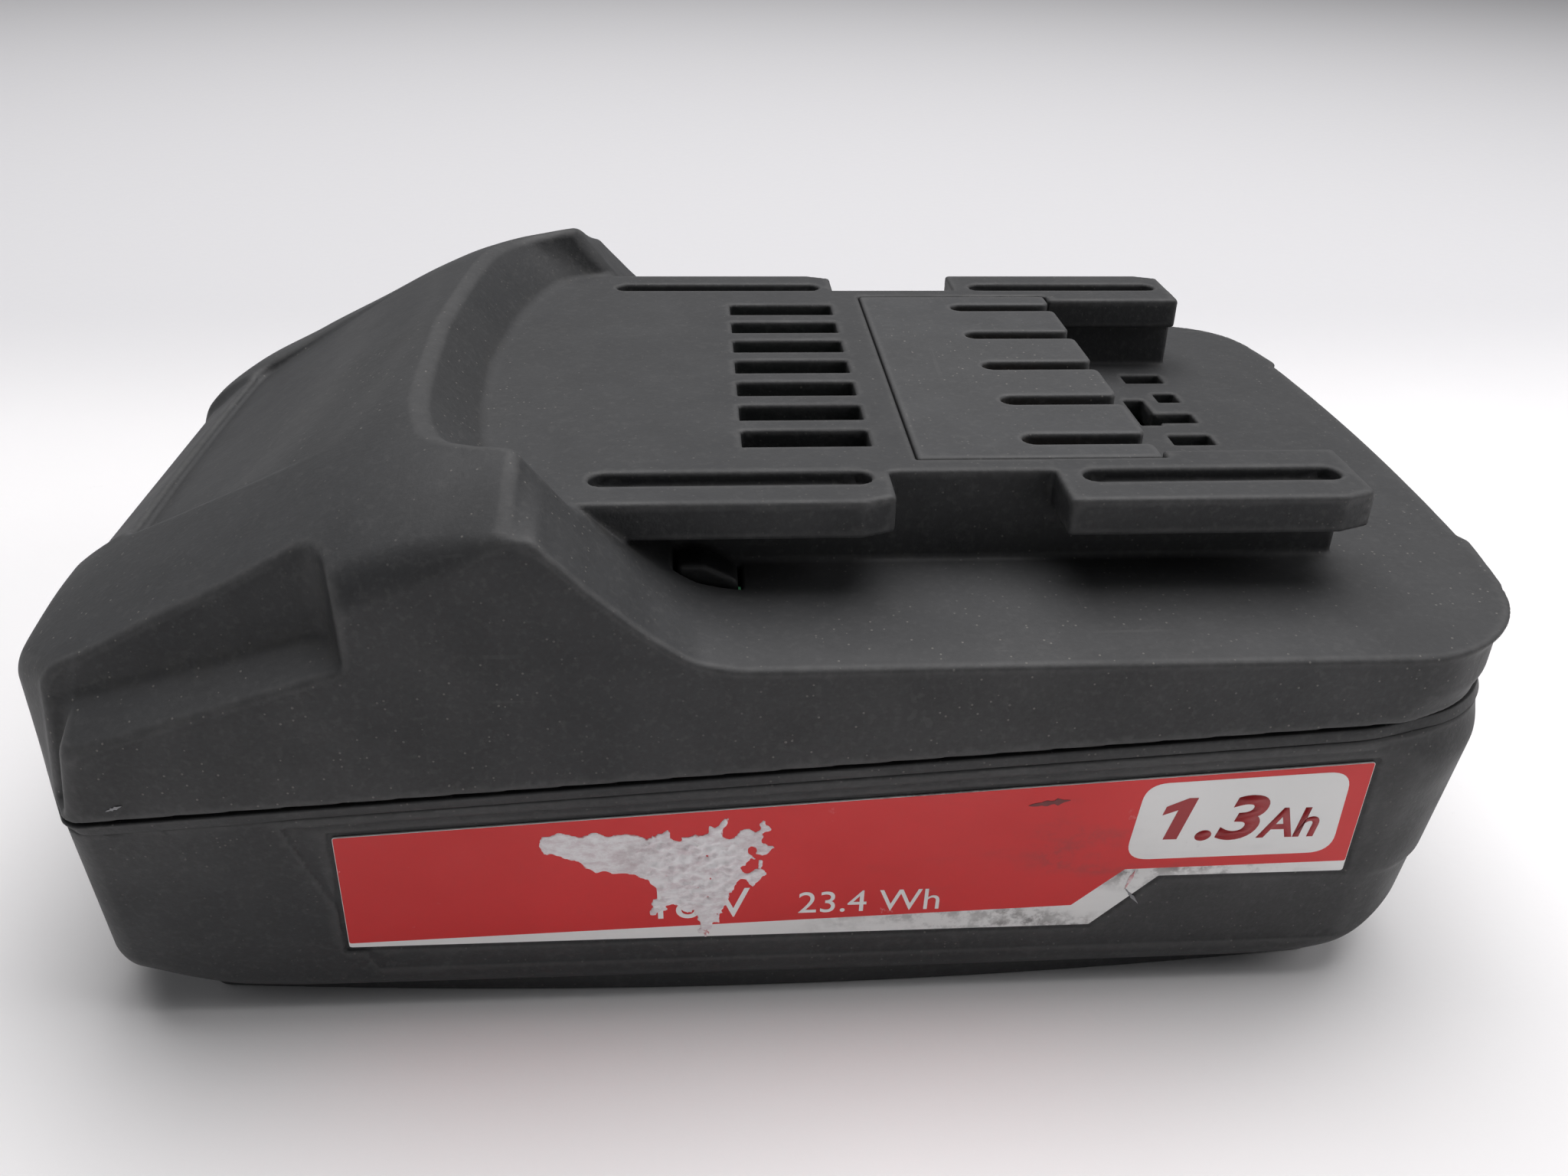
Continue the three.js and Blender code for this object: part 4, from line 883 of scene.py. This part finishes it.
# Strips of the tear: start and end [x, z] with the half width at each.
TEAR = [((-7.8, 16.0), (-6.6, 14.2), 3.5, 2.7), ((-10.4, 17.4), (-17.9, 18.8), 2.4, 1.2),
        ((-10.6, 16.8), (-15.0, 16.4), 1.8, 0.8), ((-6.6, 13.4), (-5.9, 8.4), 2.4, 0.5),
        ((-8.6, 13.2), (-10.2, 10.9), 1.5, 0.4), ((-5.2, 17.4), (-1.0, 20.2), 1.7, 0.4),
        ((-4.6, 15.8), (-0.9, 18.0), 1.5, 0.3), ((-4.6, 14.2), (-1.6, 15.0), 1.2, 0.3),
        ((-6.5, 18.4), (-4.4, 20.8), 1.0, 0.2)]


def tear_spot(x, z):
    """The torn spot of the near label, flat: a core with ragged arms."""
    spot = 30.0
    for start, end, wide, narrow in TEAR:
        spot = either(spot, streak(x, z, start, end, wide, narrow), 0.5)
    calm = ease(x, -12.5, -10)
    return spot + (0.1 + 0.2 * calm) * ripple(x, z * 0.7 + x * 0.3, 4, 2.6, 0.25)


def tear(x, y, z):
    """The soft core that the tear lays bare, a little proud of the film."""
    spot = tear_spot(x, z)
    uneven = 1 + 0.6 * ripple(x, z, 9, 1.4, 0.35, 30)
    fluff = 0.06 + (0.03 + 0.09 * ease(x, -12.5, -10)) * np.clip(-spot / 1.2, 0, 1) * uneven
    out = -y - side_wall(z) - FILM_OUT
    return np.maximum(spot, np.maximum(out - fluff, -0.15 - out))


def tear_piece():
    points, faces = net(tear, (-21.5, -38.5, 6.5), (1.5, -36, 22.5), FINE_STEP * 0.9)
    mesh = mesh_from("label_right_tear", points, faces)
    store(mesh, "deep", np.clip(-tear_spot(points[:, 0], points[:, 2]) / 0.9, 0, 1))
    mesh.shade_smooth()
    show("label_right_tear", mesh, torn, "pack")


def lettering(name, text, size, start, side, out, material, slant, bold, widen):
    """Plain generic characters as thin ink on a side wall; start is the lower left corner in [x, z]."""
    curve = bpy.data.curves.new(name, "FONT")
    curve.body = text
    curve.size = size
    curve.shear = slant
    curve.offset = bold
    curve.resolution_u = 6
    source = put(name + "_source", curve)
    graph = bpy.context.evaluated_depsgraph_get()
    mesh = bpy.data.meshes.new_from_object(source.evaluated_get(graph))
    bpy.data.objects.remove(source)
    made = bmesh.new()
    made.from_mesh(mesh)
    bmesh.ops.remove_doubles(made, verts=made.verts, dist=1e-5)
    grown = bmesh.ops.extrude_face_region(made, geom=made.faces[:])
    lifted = {v for v in grown["geom"] if isinstance(v, bmesh.types.BMVert)}
    for v in made.verts:
        z = start[1] + v.co.y
        wall = side_wall(z) + out + (0.02 if v in lifted else 0.0)
        v.co = Vector((start[0] - side * v.co.x * widen, side * wall, z)) * MM
    write(made, mesh)
    show(name, mesh, material, "pack")


# Ratings: title, text, size, start x on the near and the far side, z, ink, slant, boldness and width.
CAPACITY_Z = 17.6
RATINGS = [("capacity_number", ".3", 6.6, (33.4, 39.6), CAPACITY_Z, dark_red, 0.2, 0.2, 1.12),
           ("capacity_unit", "Ah", 4.6, (38.9, 33.9), CAPACITY_Z, dark_red, 0.12, 0.09, 0.9),
           ("voltage", "18 V", 5.0, (-11.0, 0.5), 9.9, clean_print, 0.0, 0.0, 0.9),
           ("energy", "23.4 Wh", 3.6, (1.4, 15.4), 10.1, clean_print, 0.0, 0.0, 0.95)]
NUMERAL_ONE = [(1.1, 0), (2.25, 0), (2.25, 4.6), (1.5, 4.6), (0, 3.7), (0, 2.75), (1.1, 3.3)]

for side, tag in ((-1, "right"), (1, "left")):
    film = plate(f"label_{tag}_film", rounded(LABEL_SHAPE, 0.25, 3), -LABEL_RECESS + 0.03, FILM_OUT, side,
                 white_print)
    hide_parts(f"label_{tag}")
    plate(f"label_{tag}_red", rounded(RED_SHAPE, 0.2, 3), FILM_OUT - 0.02, FILM_OUT + 0.02, side, red_print)
    plate(f"label_{tag}_panel", rounded(PANEL_SHAPE, 2.0, 8), FILM_OUT, FILM_OUT + 0.035, side, clean_print)
    for title, text, size, starts, z, ink, slant, bold, widen in RATINGS:
        lettering(f"label_{tag}_{title}", text, size, (starts[side > 0], z), side, FILM_OUT + 0.03, ink,
                  slant, bold, widen)
    at = (29.9, 43.0)[side > 0]
    plate(f"label_{tag}_capacity_one", [(at - side * (x + 0.2 * z), CAPACITY_Z + z) for x, z in NUMERAL_ONE],
          FILM_OUT + 0.03, FILM_OUT + 0.05, side, dark_red)

tear_piece()


def mark(name, start, end, wide, material, seed, out=FILM_OUT + 0.01):
    """A thin ragged scuff on the near side wall between two points [x, z]."""
    rng = np.random.default_rng(seed)
    start, end = np.array(start), np.array(end)
    across = np.array([start[1] - end[1], end[0] - start[0]]) / np.linalg.norm(end - start) * wide / 2
    count = 14
    t = np.linspace(0, 1, count)
    half = np.sin(math.pi * t)[:, None] * rng.uniform(0.4, 1.2, (count, 1)) + 0.03
    middle = start + (end - start) * t[:, None]
    outline = np.concatenate([middle + across * half, (middle - across * half)[::-1]])
    plate(name, outline.tolist(), out, out + 0.035, -1, material)


mark("label_right_scuff_1", (19.4, 21.8), (22.7, 22.3), 0.8, scuffed, 5)
mark("label_right_scuff_2", (29.4, 14.0), (28.9, 11.8), 0.35, torn, 6)
mark("lower_shell_scuff", (28.9, 11.9), (30.4, 9.9), 0.3, pale_mark, 7, -0.19)
mark("upper_shell_scuff", (-50.6, 24.0), (-49.3, 24.5), 0.3, pale_mark, 11, 0.21)

# ---- Screws ----

AROUND = np.arange(48) * math.tau / 48
screw_steel = metal("screw_steel", (0.32, 0.32, 0.33, 1), (0.16, 0.14, 0.13, 1), 0.34, (30, 30, 30))


def circle(radius, height, waves=0.0):
    """A ring of [x, y, z] points round the z axis; waves adds to the radius at each point."""
    return np.stack([(radius + waves) * np.cos(AROUND), (radius + waves) * np.sin(AROUND),
                     np.full(len(AROUND), height)], 1)


def shell_screw(node):
    """A pan-head screw with a lobed socket, its head towards the floor, in the CAD screw's place."""
    low, high = [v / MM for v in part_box(node)]
    cx, cy = (low.x + high.x) / 2, (low.y + high.y) / 2
    head = (high.x - low.x) / 2
    bottom, top = low.z, high.z
    socket, lobes, turns, per_turn = 1.05, 6, 10, 6
    rings = [circle(r, bottom + up, r * 0.16 * np.cos(lobes * AROUND))
             for r, up in ((socket * 0.9, 1.1), (socket, 0.12), (socket * 1.09, 0))]
    rings += [circle(r, bottom + up) for r, up in (
        (head - 0.75, 0), (head - 0.35, 0.18), (head - 0.1, 0.5), (head, 1.0), (head, 1.75),
        (head - 0.12, 1.9), (1.25, 1.9))]
    thread_from, thread_to = bottom + 2.4, top - 1.6
    for i in range(turns * per_turn + 1):
        ridge = 0.19 * abs(np.sin(math.pi * i / per_turn + AROUND / 2))
        rings.append(circle(1.14, thread_from + (thread_to - thread_from) * i / (turns * per_turn), ridge))
    rings.append(circle(0.15, top))
    mesh = lofted(node + "_steel", np.array(rings) + (cx, cy, 0))
    soften(show(node + "_steel", mesh, screw_steel, "pack", [node]))


for end in ("front", "rear"):
    shell_screw(f"shell_screw_{end}_left")
    shell_screw(f"shell_screw_{end}_right")

# ---- Springs ----

spring_steel = metal("spring_steel", (0.42, 0.43, 0.45, 1), (0.25, 0.24, 0.23, 1), 0.26, (40, 40, 40))


def latch_spring(node):
    """A coil with closed ends in the CAD spring's place, between the tub and the latch."""
    wire, turns, per_turn, sides = 0.3, 7, 20, 8
    low, high = [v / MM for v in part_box(node)]
    cx, cy, coil = (low.x + high.x) / 2, (low.y + high.y) / 2, (high.x - low.x) / 2 - wire
    t = np.linspace(0, 1, turns * per_turn + 1)[:, None]
    around = math.tau * np.arange(sides) / sides
    climb = np.clip((t * turns - 0.9) / (turns - 1.8), 0, 1)
    radius = coil + wire * np.cos(around)
    z = low.z + wire + (high.z - low.z - 2 * wire) * climb + wire * np.sin(around)
    angle = math.tau * turns * t
    mesh = lofted(node + "_coil", np.stack([cx + radius * np.cos(angle), cy + radius * np.sin(angle), z], 2))
    mesh.shade_smooth()
    mesh.materials.append(spring_steel)
    piece = put(node + "_coil", mesh)
    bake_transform(piece)
    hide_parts(node)


latch_spring("latch_spring_left")
latch_spring("latch_spring_right")

# ---- Materials for the CAD nodes that stay ----

INSIDE = {
    "contact": metal("contact_copper", (0.62, 0.40, 0.24, 1), (0.38, 0.24, 0.15, 1), 0.28),
    "cell_holder": plain_surface("holder_plastic", (0.016, 0.017, 0.019, 1), (0.03, 0.03, 0.033, 1), 0.55,
                                 1800, 0.00005),
    "cell": plain_surface("cell_wrap", (0.02, 0.17, 0.25, 1), (0.015, 0.12, 0.19, 1), 0.34, 420, 0.00006,
                          0.5),
    "busbar": metal("nickel_strip", (0.62, 0.60, 0.56, 1), (0.46, 0.44, 0.40, 1), 0.3, (60, 6, 60)),
    "circuit_board": board_laminate("board_laminate"),
    "insulator": plain_surface("insulating_paper", (0.42, 0.39, 0.30, 1), (0.34, 0.31, 0.23, 1), 0.82, 900,
                               0.0001, 0.2),
    "temperature_sensor": plain_surface("sensor_epoxy", (0.02, 0.02, 0.024, 1), (0.05, 0.04, 0.03, 1), 0.3,
                                        500, 0.00006, 0.5),
}

for name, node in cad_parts.items():
    if node.hide_render:
        continue
    kind = next(k for k in INSIDE if name.startswith(k))
    node.data.materials.clear()
    node.data.materials.append(INSIDE[kind])

# ---- Floor, light and camera ----

FLOOR = 9   # half its side, in metres

floor_mesh = bpy.data.meshes.new("floor")
corners = [(-FLOOR, -FLOOR, 0), (FLOOR, -FLOOR, 0), (FLOOR, FLOOR, 0), (-FLOOR, FLOOR, 0)]
floor_mesh.from_pydata(corners, [], [(0, 1, 2, 3)])
floor = put("floor", floor_mesh)
floor.data.materials.append(floor_paper("floor_paper"))


def soft_light(name, place, aim, size, power, colour):
    """A rectangular lamp; places and sizes are in metres, its power in watts."""
    lamp = bpy.data.lights.new(name, "AREA")
    lamp.shape = "RECTANGLE"
    lamp.size, lamp.size_y = size
    lamp.energy = power
    lamp.color = colour
    light = put(name, lamp)
    light.location = place
    light.rotation_mode = "QUATERNION"
    light.rotation_quaternion = (Vector(aim) - Vector(place)).to_track_quat("-Z", "Y")


soft_light("overhead", (0.08, 0.21, 0.88), (0, 0, 0.02), (1.05, 0.8), 11.6, (1.0, 0.985, 0.99))
soft_light("right_fill", (0.36, -0.10, 0.26), (0.03, 0, 0.02), (0.2, 0.2), 0.38, (1.0, 0.98, 0.99))
soft_light("left_fill", (-0.8, 0.05, 0.35), (0, 0, 0.02), (0.4, 0.5), 0.4, (0.97, 0.97, 1.0))

world = bpy.data.worlds.new("studio")
world.use_nodes = True
nodes, links = world.node_tree.nodes, world.node_tree.links
backdrop = nodes["Background"]
backdrop.inputs["Color"].default_value = (0.92, 0.93, 0.95, 1)
way = nodes.new("ShaderNodeTexCoord")
height = nodes.new("ShaderNodeSeparateXYZ")
glow = nodes.new("ShaderNodeMapRange")   # brighter near the horizon than overhead
links.new(way.outputs["Generated"], height.inputs[0])
links.new(height.outputs["Z"], glow.inputs["Value"])
for key, value in (("From Min", 0.02), ("From Max", 0.3), ("To Min", 0.6), ("To Max", 0.06)):
    glow.inputs[key].default_value = value
links.new(glow.outputs["Result"], backdrop.inputs["Strength"])
bpy.context.scene.world = world
bpy.context.scene.view_settings.view_transform = "Standard"

EYE = (-6.25, -118.55, 88.27)   # the camera's place, in millimetres
YAW, PITCH, ROLL = 0.0734, 0.5207, 0.0215
FOCAL_SHARE = 1727 / 2048   # focal length over image width
SENSOR = 36

ahead = Vector((math.sin(YAW) * math.cos(PITCH), math.cos(YAW) * math.cos(PITCH), -math.sin(PITCH)))
right = Vector((math.cos(YAW), -math.sin(YAW), 0))
up = right.cross(ahead)
right, up = (right * math.cos(ROLL) + up * math.sin(ROLL), up * math.cos(ROLL) - right * math.sin(ROLL))
lens = bpy.data.cameras.new("camera")
lens.sensor_fit = "HORIZONTAL"
lens.sensor_width = SENSOR
lens.lens = SENSOR * FOCAL_SHARE
lens.clip_start = 0.005
camera = put("camera", lens)
turn = Matrix((right, up, -ahead)).transposed().to_4x4()
camera.matrix_world = Matrix.Translation(Vector(EYE) * MM) @ turn
bpy.context.scene.camera = camera
